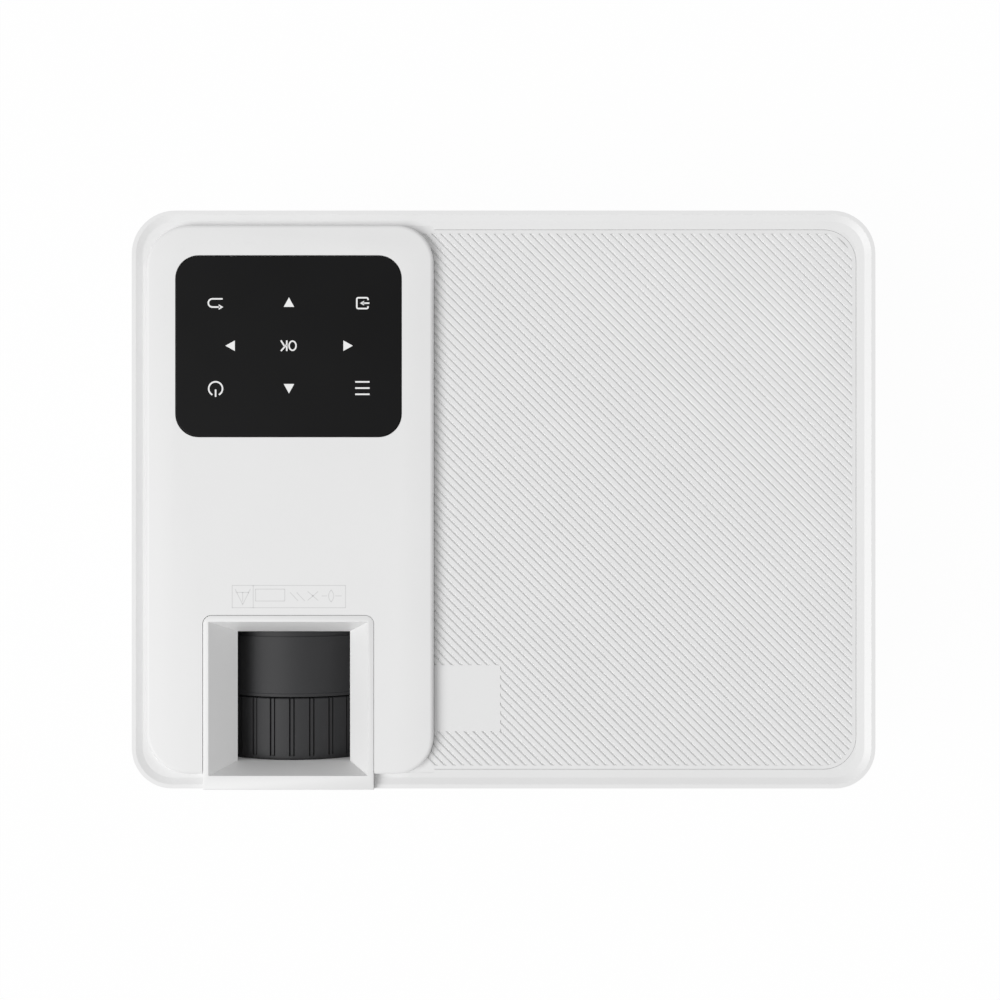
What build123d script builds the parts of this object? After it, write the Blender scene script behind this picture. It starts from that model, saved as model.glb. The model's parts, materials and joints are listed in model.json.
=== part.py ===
import os
from math import atan2, cos, degrees, hypot, pi, radians, sin, sqrt
from build123d import *

# Mini LED projector with a slim disc drive in its side.
# +X is the disc tray's side, -Y the lens end, +Z up. The origin is under the middle of the case,
# on the table. All sizes are in millimetres.

# ---- case -------------------------------------------------------------------------------------
body_length = 240.0
body_depth = 186.5
foot_height = 4.0
overall_height = 92.0
back_corner_radius = 14.0
front_corner_radius = 13.0
case_wall = 2.4
case_split = 22.0
rim_drop = 3.0
rim_flat = 1.3
dish_depth = 1.0
dish_middle_inset = 3.4
dish_middle_drop = 0.75
roof_thickness = 2.4
seam_gap = 0.1
bottom_edge_chamfer = 2.0
lip_height = 2.0
lip_thickness = 1.0

floor_under = foot_height
floor_top = floor_under + case_wall
crest = overall_height - rim_drop
panel_top = crest - dish_depth

# ---- grooved top panel ------------------------------------------------------------------------
panel_thickness = 1.6
panel_margin = 6.1
panel_corner_radius = 10.5
groove_pitch = 2.045
groove_width = 0.85
groove_depth = 0.35
groove_border = 1.2
bare_patch_side = 21.5
bare_patch_offset_x = 1.2
bare_patch_offset_y = 12.7

roof_top = panel_top - panel_thickness
roof_under = roof_top - roof_thickness

# ---- raised control deck ----------------------------------------------------------------------
deck_margin = 5.0
deck_width = 92.5
deck_corner_radius = 14.0
deck_skin = 2.4
deck_side_wall = 2.0
deck_edge_fillet = 2.2
deck_left = deck_margin - body_length / 2
deck_right = deck_left + deck_width
deck_middle = (deck_left + deck_right) / 2
deck_depth = body_depth - 2 * deck_margin

glass_width = 72.5
glass_depth = 58.2
glass_corner_radius = 7.4
glass_thickness = 1.2
glass_gap = 0.15
glass_center_x = -69.05
glass_center_y = 49.2
touch_board_thickness = 1.2
touch_board_margin = 3.0

# ---- lens barrel ------------------------------------------------------------------------------
lens_x = -69.1
barrel_radius = 27.0
barrel_drop = 9.5
barrel_axis = overall_height - barrel_drop - barrel_radius
ring_front = -85.1
ring_back = -64.9
ring_groove_count = 26
ring_groove_width = 1.8
ring_groove_depth = 1.0
ring_groove_land = 0.6
ring_seam = 0.4
neck_radius = 23.0
neck_bore_radius = 21.0
bearing_gap = 0.08
sleeve_flange_radius = 28.0
sleeve_flange_thickness = 3.0
sleeve_step_y = -44.9
sleeve_step_drop = 0.4
retainer_radius = 25.4
retainer_thickness = 1.6
retainer_gap = 0.3
cell_gap = 0.08
cell_wall = 2.0
cell_length = 26.0
cell_recess = 7.5
focus_travel = 6.0
focus_turn = 120.0
front_glass_thickness = 7.0
rear_glass_thickness = 5.0
front_dome_radius = 34.0
rear_dome_radius = 42.0
cell_seat_depth = 0.4
cam_pin_radius = 1.5
cam_pin_reach = 1.6
cam_pin_count = 3
cam_gap = 0.25

# ---- lens surround ----------------------------------------------------------------------------
surround_left = -96.6
surround_right = -41.7
surround_back = -37.2
surround_corner_radius = 2.8
surround_bottom = 72.0
surround_plate_bottom = 26.0
window_land_side = 1.8
window_land_back = 2.1
window_land_front = 4.5
window_corner_radius = 3.0
window_depth = 17.0
window_side_slope = 0.452
window_end_slope = 0.40
barrel_gap = 0.6
port_radius = 24.6
port_flare = 3.2

# ---- light engine -----------------------------------------------------------------------------
engine_width = 82.0
engine_height = 52.0
engine_front = -34.0
engine_back = 46.0
engine_wall = 2.0
engine_rib = 1.6
engine_rib_width = 3.0
optic_gap = 0.15
fresnel_width = 74.0
fresnel_height = 46.0
fresnel_thickness = 2.0
fresnel_field_y = -10.0
fresnel_lamp_y = 18.0
lcd_width = 76.0
lcd_height = 46.0
lcd_thickness = 3.0
lcd_active_width = 66.0
lcd_active_height = 37.0
lcd_recess = 0.5
lcd_y = 4.0
heat_glass_thickness = 1.4
heat_glass_y = 26.0
bulkhead_y = 33.0
bulkhead_thickness = 3.0
condenser_radius = 19.0
condenser_rim = 2.0
condenser_dome_radius = 34.0
condenser_seat = 1.5
led_board_side = 42.0
led_board_thickness = 2.0
led_window_side = 28.0
led_chip_side = 18.0
led_chip_height = 1.5
heatsink_base = 5.0
heatsink_fin_count = 13
heatsink_fin_thickness = 1.4
heatsink_reach = 25.0
engine_post_radius = 4.0
engine_post_inset = 7.0

# ---- fans -------------------------------------------------------------------------------------
exhaust_fan_size = 50.0
exhaust_fan_depth = 15.0
intake_fan_size = 48.0
intake_fan_depth = 12.0
intake_fan_y = 4.0
fan_corner_radius = 4.0
fan_wall = 2.0
fan_hub_share = 0.36
fan_strut_width = 3.0
fan_strut_thickness = 1.6
fan_screw_inset = 5.0
fan_screw_radius = 2.1
fan_tip_gap = 0.8
fan_blade_count = 7
fan_blade_thickness = 1.2
fan_blade_pitch = 38.0
fan_pin_radius = 1.5
fan_pin_gap = 0.05
grille_slot_width = 2.6
grille_slot_pitch = 5.2

# ---- disc drive -------------------------------------------------------------------------------
drive_width = 128.0
drive_depth = 126.6
drive_height = 12.7
drive_bottom = 62.0
drive_sheet = 0.8
bezel_thickness = 2.6
bezel_gap = 0.4
tray_half_width = 59.6
tray_bottom_gap = 1.2
tray_height = 9.2
tray_flange_reach = 62.6
tray_flange_thickness = 2.4
tray_skirt = 1.6
tray_floor_thickness = 1.8
tray_rear_gap = 3.5
tray_travel = 112.0
disc_well_radius = 60.4
disc_well_depth = 2.2
rail_width = 2.4
rail_height = 5.6
rail_gap = 0.25
rail_length = 118.0
spindle_inset = 61.5
hub_flange_radius = 13.0
hub_boss_radius = 7.4
hub_boss_height = 1.9
hub_flange_thickness = 1.2
hub_rise = 0.4
hub_core_radius = 8.0
hub_motor_gap = 0.4
hub_ball_radius = 0.8
hub_ball_count = 3
spindle_motor_radius = 11.5
spindle_motor_height = 3.0
spindle_shaft_radius = 1.2
spindle_gap = 0.05
mechanism_plate_thickness = 1.0
mechanism_angle = 225.0
mechanism_half_width = 16.5
mechanism_start = -20.0
mechanism_corner = 6.0
wing_start = 8.0
wing_end = 60.0
wing_half_width = 23.0
post_radius = 2.2
post_inset = 2.6
rod_offset = 13.0
rod_radius = 0.9
rod_start = 7.0
rod_end = 64.5
rod_block = 4.0
rod_height = 3.0
rod_gap = 0.05
sled_start = 24.0
sled_length = 12.0
sled_width = 31.0
sled_height = 3.3
sled_travel = 30.0
sled_gap = 0.25
objective_radius = 2.6
objective_height = 0.8
objective_seat_height = 0.5
objective_seat_radius = 4.2
lead_screw_offset = -19.5
lead_screw_radius = 1.2
lead_screw_pitch = 3.0
sled_motor_radius = 1.9
sled_motor_length = 11.0
button_width = 9.0
button_height = 3.0
button_travel = 0.8
button_y = -38.0
button_gap = 0.15
button_reach = 0.2
button_stem_radius = 1.0
button_stem_length = 3.0
drive_boss_radius = 4.0
drive_boss_inset = 14.0

# ---- front, rear and underside ----------------------------------------------------------------
speaker_grille_width = 112.0
speaker_grille_height = 34.0
speaker_grille_x = 42.0
speaker_grille_z = 50.0
speaker_grille_thickness = 2.0
speaker_grille_radius = 4.0
speaker_grille_edge = 3.0
speaker_radius = 16.0
speaker_depth = 14.0
speaker_spacing = 64.0
speaker_magnet_radius = 10.0
speaker_rim = 3.0
ir_window_x = -28.0
ir_window_z = 50.0
ir_window_width = 12.0
ir_window_height = 8.0
ir_window_flange = 1.5
ir_window_gap = 0.1

port_panel_left = -14.0
port_panel_right = 114.0
port_panel_bottom = 30.0
port_panel_top = 52.0
port_panel_thickness = 2.0
port_panel_radius = 3.0
port_clearance = 0.2
board_height = 34.0
board_thickness = 1.6
hdmi_width = 15.0
hdmi_height = 6.0
hdmi_depth = 12.0
hdmi_shell = 0.5
hdmi_tongue = 1.2
hdmi_x = 62.0
hdmi_spacing = 22.0
usb_x = 30.0
usb_width = 13.6
usb_height = 6.6
usb_depth = 14.0
usb_shell = 0.5
usb_tongue = 1.8
jack_phones_x = 10.0
jack_av_x = -4.0
jack_body_width = 7.0
jack_body_height = 6.0
jack_body_depth = 13.0
jack_bore_radius = 1.8
jack_nose_radius = 2.9
jack_bore_length = 12.0
inlet_x = 94.0
inlet_width = 21.0
inlet_height = 12.4
inlet_depth = 20.0
inlet_mouth_width = 16.8
inlet_mouth_height = 8.6
inlet_mouth_depth = 11.0
inlet_pin_spacing = 8.6
inlet_pin_radius = 1.1
inlet_pin_length = 9.0
main_board_left = -12.0
main_board_right = 82.0
main_board_front = 14.0
board_post_radius = 3.0
board_post_inset = 5.0
heat_spreader_side = 24.0
heat_spreader_height = 8.0
chip_side = 14.0
chip_height = 1.6
power_left = 0.0
power_right = 104.0
power_front = 24.0
power_back = 82.0
power_base = 16.0
transformer_length = 26.0
transformer_width = 22.0
transformer_height = 15.0
capacitor_radius = 8.0
capacitor_height = 15.0
power_sink_length = 40.0
power_sink_thickness = 4.0
power_sink_height = 15.0

vent_slot_width = 2.6
vent_slot_height = 26.0
vent_slot_pitch = 5.2
left_vent_count = 14
left_vent_y = 10.0
left_vent_z = 56.0
right_vent_count = 12
right_vent_y = -20.0
right_vent_z = 40.0
intake_vent_count = 9
intake_vent_length = 46.0
intake_vent_x = -69.0
intake_vent_y = 6.0

screw_x = 113.0
screw_y = 81.0
screw_shank_radius = 1.5
screw_clearance_radius = 1.75
screw_head_radius = 2.8
screw_head_height = 2.2
screw_head_clearance = 3.2
screw_head_sink = 4.0
screw_length = 30.0
screw_drive_width = 1.0
screw_drive_depth = 1.2
screw_post_radius = 4.6
upper_post_top = 42.0
foot_radius = 8.0
foot_recess = 1.0
foot_x = 94.0
foot_y = 68.0
foot_edge = 0.8
tripod_y = 0.0
tripod_radius = 3.175
tripod_length = 9.0
tripod_insert_radius = 5.0
insert_boss_wall = 2.0
ceiling_spacing_x = 120.0
ceiling_spacing_y = 100.0
ceiling_radius = 2.0
ceiling_length = 8.0
ceiling_insert_radius = 3.4
elevator_y = -80.0
elevator_stem_radius = 3.0
elevator_nut_radius = 5.5
elevator_nut_length = 9.0
elevator_gap = 0.06
elevator_wheel_radius = 9.0
elevator_wheel_thickness = 2.4
elevator_sole_radius = 7.0
elevator_sole_thickness = 1.6
elevator_clearance = 0.6
elevator_stem_top = 24.0
elevator_travel = 12.0
elevator_notch_count = 20
elevator_notch_radius = 0.7
elevator_recess_gap = 1.2

back_face = body_depth / 2
front_face = -body_depth / 2
left_face = -body_length / 2
right_face = body_length / 2
roof_inset = case_wall


def rounded_rectangle(plane, width, depth, radius):
    """Rectangle with rounded corners, centred on its plane."""
    with BuildSketch(plane) as outline:
        RectangleRounded(width, depth, radius)
    return outline.sketch


def case_plan(height, inset):
    """Plan of the case at a height, drawn in by the inset."""
    with BuildSketch(Plane.XY.offset(height)) as plan:
        Rectangle(body_length - 2 * inset, body_depth - 2 * inset)
        fillet(plan.vertices().group_by(Axis.Y)[-1], back_corner_radius - inset)
        fillet(plan.vertices().group_by(Axis.Y)[0], front_corner_radius - inset)
    return plan.sketch


def between(x_low, x_high, y_low, y_high, radius=0.0, mode=Mode.ADD):
    """Rectangle between two corners, inside the sketch that is open."""
    with Locations(((x_low + x_high) / 2, (y_low + y_high) / 2)):
        if radius > 0:
            RectangleRounded(x_high - x_low, y_high - y_low, radius, mode=mode)
        else:
            Rectangle(x_high - x_low, y_high - y_low, mode=mode)


def level(height):
    """Horizontal plane at a height."""
    return Plane.XY.offset(height)


def facing_front(x, y, z):
    """Upright plane that looks towards the lens end, its own x to +X and its y up."""
    return Plane((x, y, z), x_dir=(1, 0, 0), z_dir=(0, -1, 0))


def facing_back(x, y, z):
    """Upright plane that looks backwards, its own x to -X and its y up."""
    return Plane((x, y, z), x_dir=(-1, 0, 0), z_dir=(0, 1, 0))


def facing_right(x, y, z):
    """Upright plane that looks to +X, its own x backwards and its y up."""
    return Plane((x, y, z), x_dir=(0, 1, 0), z_dir=(1, 0, 0))


def facing_left(x, y, z):
    """Upright plane that looks to -X, its own x forwards and its y up."""
    return Plane((x, y, z), x_dir=(0, -1, 0), z_dir=(-1, 0, 0))


def finish(piece, name):
    """Label a finished piece and write its file."""
    piece.part.label = name
    export_step(piece.part, f"parts/{name}.step")


def slot_row(plane, count, pitch, width, height):
    """Row of upright slots with round ends, centred on its plane."""
    with BuildSketch(plane) as slots:
        with GridLocations(pitch, 0, count, 1):
            SlotOverall(height, width, rotation=90)
    return slots.sketch


os.makedirs("parts", exist_ok=True)

# ---- lens surround's outline, shared by its seats ---------------------------------------------
surround_width = surround_right - surround_left
surround_x = (surround_left + surround_right) / 2


def surround_plan(height, gap, front):
    """Plan of the lens surround, widened by a gap and run out to a front plane."""
    with BuildSketch(level(height)) as plan:
        between(surround_left - gap, surround_right + gap, front, surround_back + gap)
        fillet(plan.vertices().group_by(Axis.Y)[-1], surround_corner_radius)
    return plan.sketch


# ---- bottom case: tray-shaped moulding with bosses for everything that stands on it -------------
engine_left = lens_x - engine_width / 2
engine_right = lens_x + engine_width / 2
engine_bottom = barrel_axis - engine_height / 2
engine_top = barrel_axis + engine_height / 2
engine_middle_y = (engine_front + engine_back) / 2
engine_post_dx = engine_width - 2 * engine_post_inset
engine_post_dy = engine_back - engine_front - 2 * engine_post_inset
main_board_back = back_face - case_wall - port_clearance
main_board_x = (main_board_left + main_board_right) / 2
main_board_y = (main_board_front + main_board_back) / 2
board_post_dx = main_board_right - main_board_left - 2 * board_post_inset
board_post_dy = main_board_back - main_board_front - 2 * board_post_inset
power_x = (power_left + power_right) / 2
power_y = (power_front + power_back) / 2
power_post_dx = power_right - power_left - 2 * board_post_inset
power_post_dy = power_back - power_front - 2 * board_post_inset
ceiling_boss_radius = ceiling_insert_radius + insert_boss_wall
tripod_boss_radius = tripod_insert_radius + insert_boss_wall
elevator_boss_radius = elevator_nut_radius + insert_boss_wall
elevator_recess_top = elevator_clearance + elevator_sole_thickness + elevator_wheel_thickness + elevator_recess_gap

with BuildPart() as bottom_case:
    extrude(case_plan(floor_under, 0), amount=case_split - floor_under)
    chamfer(bottom_case.faces().sort_by(Axis.Z)[0].edges(), bottom_edge_chamfer)
    extrude(case_plan(floor_top, case_wall), amount=case_split - floor_top, mode=Mode.SUBTRACT)
    with BuildSketch(level(floor_top)):
        with Locations((lens_x, engine_middle_y)):
            with GridLocations(engine_post_dx, engine_post_dy, 2, 2):
                Circle(engine_post_radius)
    extrude(amount=engine_bottom - floor_top)
    with BuildSketch(level(floor_top)):
        with Locations((main_board_x, main_board_y)):
            with GridLocations(board_post_dx, board_post_dy, 2, 2):
                Circle(board_post_radius)
    extrude(amount=board_height - floor_top)
    with BuildSketch(level(floor_top)):
        with Locations((power_x, power_y)):
            with GridLocations(power_post_dx, power_post_dy, 2, 2):
                Circle(board_post_radius)
    extrude(amount=power_base - floor_top)
    with BuildSketch(level(floor_top)):
        with GridLocations(2 * screw_x, 2 * screw_y, 2, 2):
            Circle(screw_post_radius)
    extrude(amount=case_split - floor_top)
    with BuildSketch(level(floor_top)):
        with GridLocations(ceiling_spacing_x, ceiling_spacing_y, 2, 2):
            Circle(ceiling_boss_radius)
    extrude(amount=floor_under + ceiling_length + insert_boss_wall - floor_top)
    with BuildSketch(level(floor_top)):
        with Locations((0, tripod_y)):
            Circle(tripod_boss_radius)
    extrude(amount=floor_under + tripod_length + insert_boss_wall - floor_top)
    with BuildSketch(level(floor_top)):
        with Locations((0, elevator_y)):
            Circle(elevator_wheel_radius + elevator_recess_gap + case_wall)
    extrude(amount=elevator_recess_top + elevator_nut_length - floor_top)
    # mouths cut up from below
    with BuildSketch(level(floor_under)):
        with GridLocations(2 * screw_x, 2 * screw_y, 2, 2):
            Circle(screw_clearance_radius)
    extrude(amount=case_split - floor_under, mode=Mode.SUBTRACT)
    with BuildSketch(level(floor_under)):
        with GridLocations(2 * screw_x, 2 * screw_y, 2, 2):
            Circle(screw_head_clearance)
    extrude(amount=screw_head_sink, mode=Mode.SUBTRACT)
    with BuildSketch(level(floor_under)):
        with GridLocations(ceiling_spacing_x, ceiling_spacing_y, 2, 2):
            Circle(ceiling_insert_radius)
    extrude(amount=ceiling_length, mode=Mode.SUBTRACT)
    with BuildSketch(level(floor_under)):
        with Locations((0, tripod_y)):
            Circle(tripod_insert_radius)
    extrude(amount=tripod_length, mode=Mode.SUBTRACT)
    with BuildSketch(level(floor_under)):
        with Locations((0, elevator_y)):
            Circle(elevator_wheel_radius + elevator_recess_gap)
    extrude(amount=elevator_recess_top - floor_under, mode=Mode.SUBTRACT)
    with BuildSketch(level(elevator_recess_top)):
        with Locations((0, elevator_y)):
            Circle(elevator_nut_radius)
    extrude(amount=elevator_nut_length, mode=Mode.SUBTRACT)
    with BuildSketch(level(floor_under)):
        with GridLocations(2 * foot_x, 2 * foot_y, 2, 2):
            Circle(foot_radius)
    extrude(amount=foot_recess, mode=Mode.SUBTRACT)
    with BuildSketch(level(floor_under)):
        with Locations((intake_vent_x, intake_vent_y)):
            with GridLocations(0, vent_slot_pitch, 1, intake_vent_count):
                SlotOverall(intake_vent_length, vent_slot_width)
    extrude(amount=case_wall, mode=Mode.SUBTRACT)
finish(bottom_case, "bottom_case")

with BuildPart() as rubber_feet:
    with BuildSketch(level(0)):
        with GridLocations(2 * foot_x, 2 * foot_y, 2, 2):
            Circle(foot_radius - glass_gap)
    extrude(amount=floor_under + foot_recess)
    chamfer(rubber_feet.faces().group_by(Axis.Z)[0].edges(), foot_edge)
finish(rubber_feet, "rubber_feet")

with BuildPart() as case_screws:
    with BuildSketch(level(floor_under + screw_head_sink - screw_head_height)):
        with GridLocations(2 * screw_x, 2 * screw_y, 2, 2):
            Circle(screw_head_radius)
    extrude(amount=screw_head_height)
    with BuildSketch(level(floor_under + screw_head_sink)):
        with GridLocations(2 * screw_x, 2 * screw_y, 2, 2):
            Circle(screw_shank_radius)
    extrude(amount=screw_length)
    with BuildSketch(level(floor_under + screw_head_sink - screw_head_height)):
        with GridLocations(2 * screw_x, 2 * screw_y, 2, 2):
            Rectangle(screw_head_radius + screw_drive_width, screw_drive_width)
            Rectangle(screw_drive_width, screw_head_radius + screw_drive_width)
    extrude(amount=screw_drive_depth, mode=Mode.SUBTRACT)
finish(case_screws, "case_screws")

with BuildPart() as tripod_insert:
    with BuildSketch(level(floor_under)):
        with Locations((0, tripod_y)):
            Circle(tripod_insert_radius)
            Circle(tripod_radius, mode=Mode.SUBTRACT)
    extrude(amount=tripod_length)
finish(tripod_insert, "tripod_insert")

with BuildPart() as ceiling_inserts:
    with BuildSketch(level(floor_under)):
        with GridLocations(ceiling_spacing_x, ceiling_spacing_y, 2, 2):
            Circle(ceiling_insert_radius)
            Circle(ceiling_radius, mode=Mode.SUBTRACT)
    extrude(amount=ceiling_length)
finish(ceiling_inserts, "ceiling_inserts")

with BuildPart() as elevator_nut:
    with BuildSketch(level(elevator_recess_top)):
        with Locations((0, elevator_y)):
            RegularPolygon(elevator_nut_radius, 6)
            Circle(elevator_stem_radius + elevator_gap, mode=Mode.SUBTRACT)
    extrude(amount=elevator_nut_length)
finish(elevator_nut, "elevator_nut")

with BuildPart() as elevator_sole:
    with BuildSketch(level(elevator_clearance)):
        with Locations((0, elevator_y)):
            Circle(elevator_sole_radius)
    extrude(amount=elevator_sole_thickness)
    chamfer(elevator_sole.faces().sort_by(Axis.Z)[0].edges(), foot_edge / 2)
finish(elevator_sole, "elevator_sole")

wheel_bottom = elevator_clearance + elevator_sole_thickness
with BuildPart() as elevator_foot:
    with BuildSketch(level(wheel_bottom)):
        with Locations((0, elevator_y)):
            Circle(elevator_wheel_radius)
            with PolarLocations(elevator_wheel_radius, elevator_notch_count):
                Circle(elevator_notch_radius, mode=Mode.SUBTRACT)
    extrude(amount=elevator_wheel_thickness)
    with BuildSketch(level(wheel_bottom + elevator_wheel_thickness)):
        with Locations((0, elevator_y)):
            Circle(elevator_stem_radius)
    extrude(amount=elevator_stem_top - wheel_bottom - elevator_wheel_thickness)
finish(elevator_foot, "elevator_foot")

# ---- upper case: walls, flat crest, shallow dish and the seats in it ---------------------------
panel_left = deck_right
panel_right = right_face - panel_margin
panel_depth = body_depth - 2 * panel_margin
panel_x = (panel_left + panel_right) / 2
wheel_post_bottom = case_split
port_panel_x = (port_panel_left + port_panel_right) / 2
port_panel_z = (port_panel_bottom + port_panel_top) / 2
port_panel_width = port_panel_right - port_panel_left
port_panel_height = port_panel_top - port_panel_bottom
drive_top = drive_bottom + drive_height
drive_z = (drive_bottom + drive_top) / 2
drive_right = right_face - bezel_thickness - seam_gap
drive_left = drive_right - drive_depth
drive_x = (drive_left + drive_right) / 2
bezel_width = drive_width - 2 * bezel_gap
bezel_height = drive_height - 2 * bezel_gap
ir_opening_width = ir_window_width + 2 * ir_window_gap
ir_opening_height = ir_window_height + 2 * ir_window_gap


def panel_plan(height, inset):
    """Plan of the grooved panel: square at the deck, rounded at the outer corners."""
    with BuildSketch(level(height)) as plan:
        between(panel_left + inset, panel_right - inset, inset - panel_depth / 2, panel_depth / 2 - inset)
        fillet(plan.vertices().group_by(Axis.X)[-1], panel_corner_radius - inset)
    return plan.sketch


def deck_plan(height, inset):
    """Plan of the raised deck: rounded at the outer corners, square beside the panel."""
    with BuildSketch(level(height)) as plan:
        between(deck_left + inset, deck_right - inset, inset - deck_depth / 2, deck_depth / 2 - inset)
        fillet(plan.vertices().group_by(Axis.X)[0], deck_corner_radius - inset)
    return plan.sketch


def fan_grille(plane, size):
    """Round field of upright slots in front of a fan."""
    slots = int(size / grille_slot_pitch)
    with BuildSketch(plane) as field:
        with GridLocations(grille_slot_pitch, 0, slots, 1):
            Rectangle(grille_slot_width, size)
        Circle(size / 2, mode=Mode.INTERSECT)
    return field.sketch


with BuildPart() as upper_case:
    extrude(case_plan(case_split, 0), amount=crest - case_split)
    # shallow dish between the flat crest and the panel, in two straight steps of its hollow curve
    dish_steps = [
        case_plan(crest, rim_flat),
        case_plan(crest - dish_middle_drop, dish_middle_inset),
        case_plan(panel_top, panel_margin),
    ]
    loft(dish_steps, ruled=True, mode=Mode.SUBTRACT)
    extrude(case_plan(case_split, case_wall), amount=roof_under - case_split, mode=Mode.SUBTRACT)
    # seats for the grooved panel and the raised deck
    extrude(panel_plan(roof_top, -seam_gap), amount=rim_drop, mode=Mode.SUBTRACT)
    extrude(deck_plan(roof_top, -seam_gap), amount=rim_drop + dish_depth, mode=Mode.SUBTRACT)
    # gap for the lens surround, through the roof and the front wall
    extrude(surround_plan(surround_plate_bottom - seam_gap, seam_gap, front_face - case_wall), amount=crest, mode=Mode.SUBTRACT)
    # screw posts, joined to the corners of the wall
    with BuildSketch(level(case_split)):
        with GridLocations(2 * screw_x, 2 * screw_y, 2, 2):
            Circle(screw_post_radius)
            Circle(screw_shank_radius + bearing_gap, mode=Mode.SUBTRACT)
    extrude(amount=upper_post_top - case_split)
    # bosses that the disc drive hangs from
    with BuildSketch(level(drive_top)):
        with Locations((drive_x, 0)):
            with GridLocations(drive_depth - 2 * drive_boss_inset, drive_width - 2 * drive_boss_inset, 2, 2):
                Circle(drive_boss_radius)
    extrude(amount=roof_under - drive_top)
    # mouth of the disc drive in the right wall
    extrude(rounded_rectangle(facing_right(right_face, 0, drive_z), drive_width, drive_height, bezel_gap), amount=-case_wall, mode=Mode.SUBTRACT)
    # front: speaker grille's seat and the remote control's window
    extrude(rounded_rectangle(
        facing_front(speaker_grille_x, front_face, speaker_grille_z),
        speaker_grille_width + 2 * seam_gap, speaker_grille_height + 2 * seam_gap, speaker_grille_radius), amount=-case_wall, mode=Mode.SUBTRACT)
    extrude(rounded_rectangle(
        facing_front(ir_window_x, front_face, ir_window_z),
        ir_opening_width, ir_opening_height, ir_window_height / 3), amount=-case_wall, mode=Mode.SUBTRACT)
    # rear: socket panel's seat and the exhaust grille
    extrude(rounded_rectangle(
        facing_back(port_panel_x, back_face, port_panel_z),
        port_panel_width + 2 * seam_gap, port_panel_height + 2 * seam_gap, port_panel_radius), amount=-case_wall, mode=Mode.SUBTRACT)
    extrude(fan_grille(facing_back(lens_x, back_face, barrel_axis), exhaust_fan_size - 2 * fan_wall), amount=-case_wall, mode=Mode.SUBTRACT)
    # side louvres
    extrude(slot_row(facing_left(left_face, left_vent_y, left_vent_z),
                 left_vent_count, vent_slot_pitch, vent_slot_width, vent_slot_height), amount=-case_wall, mode=Mode.SUBTRACT)
    extrude(slot_row(facing_right(right_face, right_vent_y, right_vent_z),
                 right_vent_count, vent_slot_pitch, vent_slot_width, vent_slot_height), amount=-case_wall, mode=Mode.SUBTRACT)
finish(upper_case, "upper_case")

# ---- grooved panel: slanting grooves inside a plain border, one bare square at the deck ---------
groove_run = panel_right - panel_left + panel_depth
groove_count = int(groove_run / (groove_pitch * sqrt(2)))
patch_x = panel_left + bare_patch_offset_x + bare_patch_side / 2
patch_y = -panel_depth / 2 + bare_patch_offset_y + bare_patch_side / 2

with BuildPart() as grooved_panel:
    extrude(panel_plan(roof_top, 0), amount=panel_thickness)
    with BuildSketch(level(panel_top)) as groove_field:
        with Locations(Location((panel_x, 0), -45)):
            with GridLocations(0, groove_pitch, 1, groove_count):
                Rectangle(groove_run, groove_width)
        add(panel_plan(0, groove_border), mode=Mode.INTERSECT)
        with Locations((patch_x, patch_y)):
            Rectangle(bare_patch_side, bare_patch_side, mode=Mode.SUBTRACT)
    extrude(amount=-groove_depth, mode=Mode.SUBTRACT)
finish(grooved_panel, "grooved_panel")

# ---- raised deck with the glass key field -----------------------------------------------------
deck_skin_bottom = overall_height - deck_skin
with BuildPart() as control_deck:
    extrude(deck_plan(roof_top, 0), amount=overall_height - roof_top)
    fillet(control_deck.faces().sort_by(Axis.Z)[-1].edges(), deck_edge_fillet)
    extrude(deck_plan(roof_top, deck_side_wall), amount=deck_skin_bottom - roof_top, mode=Mode.SUBTRACT)
    extrude(surround_plan(roof_top, seam_gap, front_face), amount=overall_height - roof_top, mode=Mode.SUBTRACT)
    # the wall that closes the hollow behind the surround
    with BuildSketch(level(roof_top)) as collar:
        between(surround_left - seam_gap - deck_side_wall, surround_right + seam_gap + deck_side_wall,
                -deck_depth / 2, surround_back + seam_gap + deck_side_wall)
        between(surround_left - seam_gap, surround_right + seam_gap,
                front_face, surround_back + seam_gap, mode=Mode.SUBTRACT)
    extrude(amount=deck_skin_bottom - roof_top)
    extrude(rounded_rectangle(
        Plane((glass_center_x, glass_center_y, overall_height - glass_thickness)),
        glass_width + 2 * glass_gap, glass_depth + 2 * glass_gap, glass_corner_radius + glass_gap), amount=glass_thickness, mode=Mode.SUBTRACT)
finish(control_deck, "control_deck")

with BuildPart() as touch_glass:
    extrude(rounded_rectangle(
        Plane((glass_center_x, glass_center_y, overall_height - glass_thickness)),
        glass_width, glass_depth, glass_corner_radius), amount=glass_thickness)
finish(touch_glass, "touch_glass")

with BuildPart() as touch_board:
    extrude(rounded_rectangle(
        Plane((glass_center_x, glass_center_y, deck_skin_bottom)),
        glass_width - 2 * touch_board_margin, glass_depth - 2 * touch_board_margin, touch_board_margin), amount=-touch_board_thickness)
finish(touch_board, "touch_board")

# ---- lens surround: sloped window over the barrel, front plate with the lens port ---------------
window_left = surround_left + window_land_side
window_right = surround_right - window_land_side
window_back = surround_back - window_land_back
window_front = front_face + window_land_front
window_bottom = overall_height - window_depth
side_step = window_depth * window_side_slope
end_step = window_depth * window_end_slope

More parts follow.
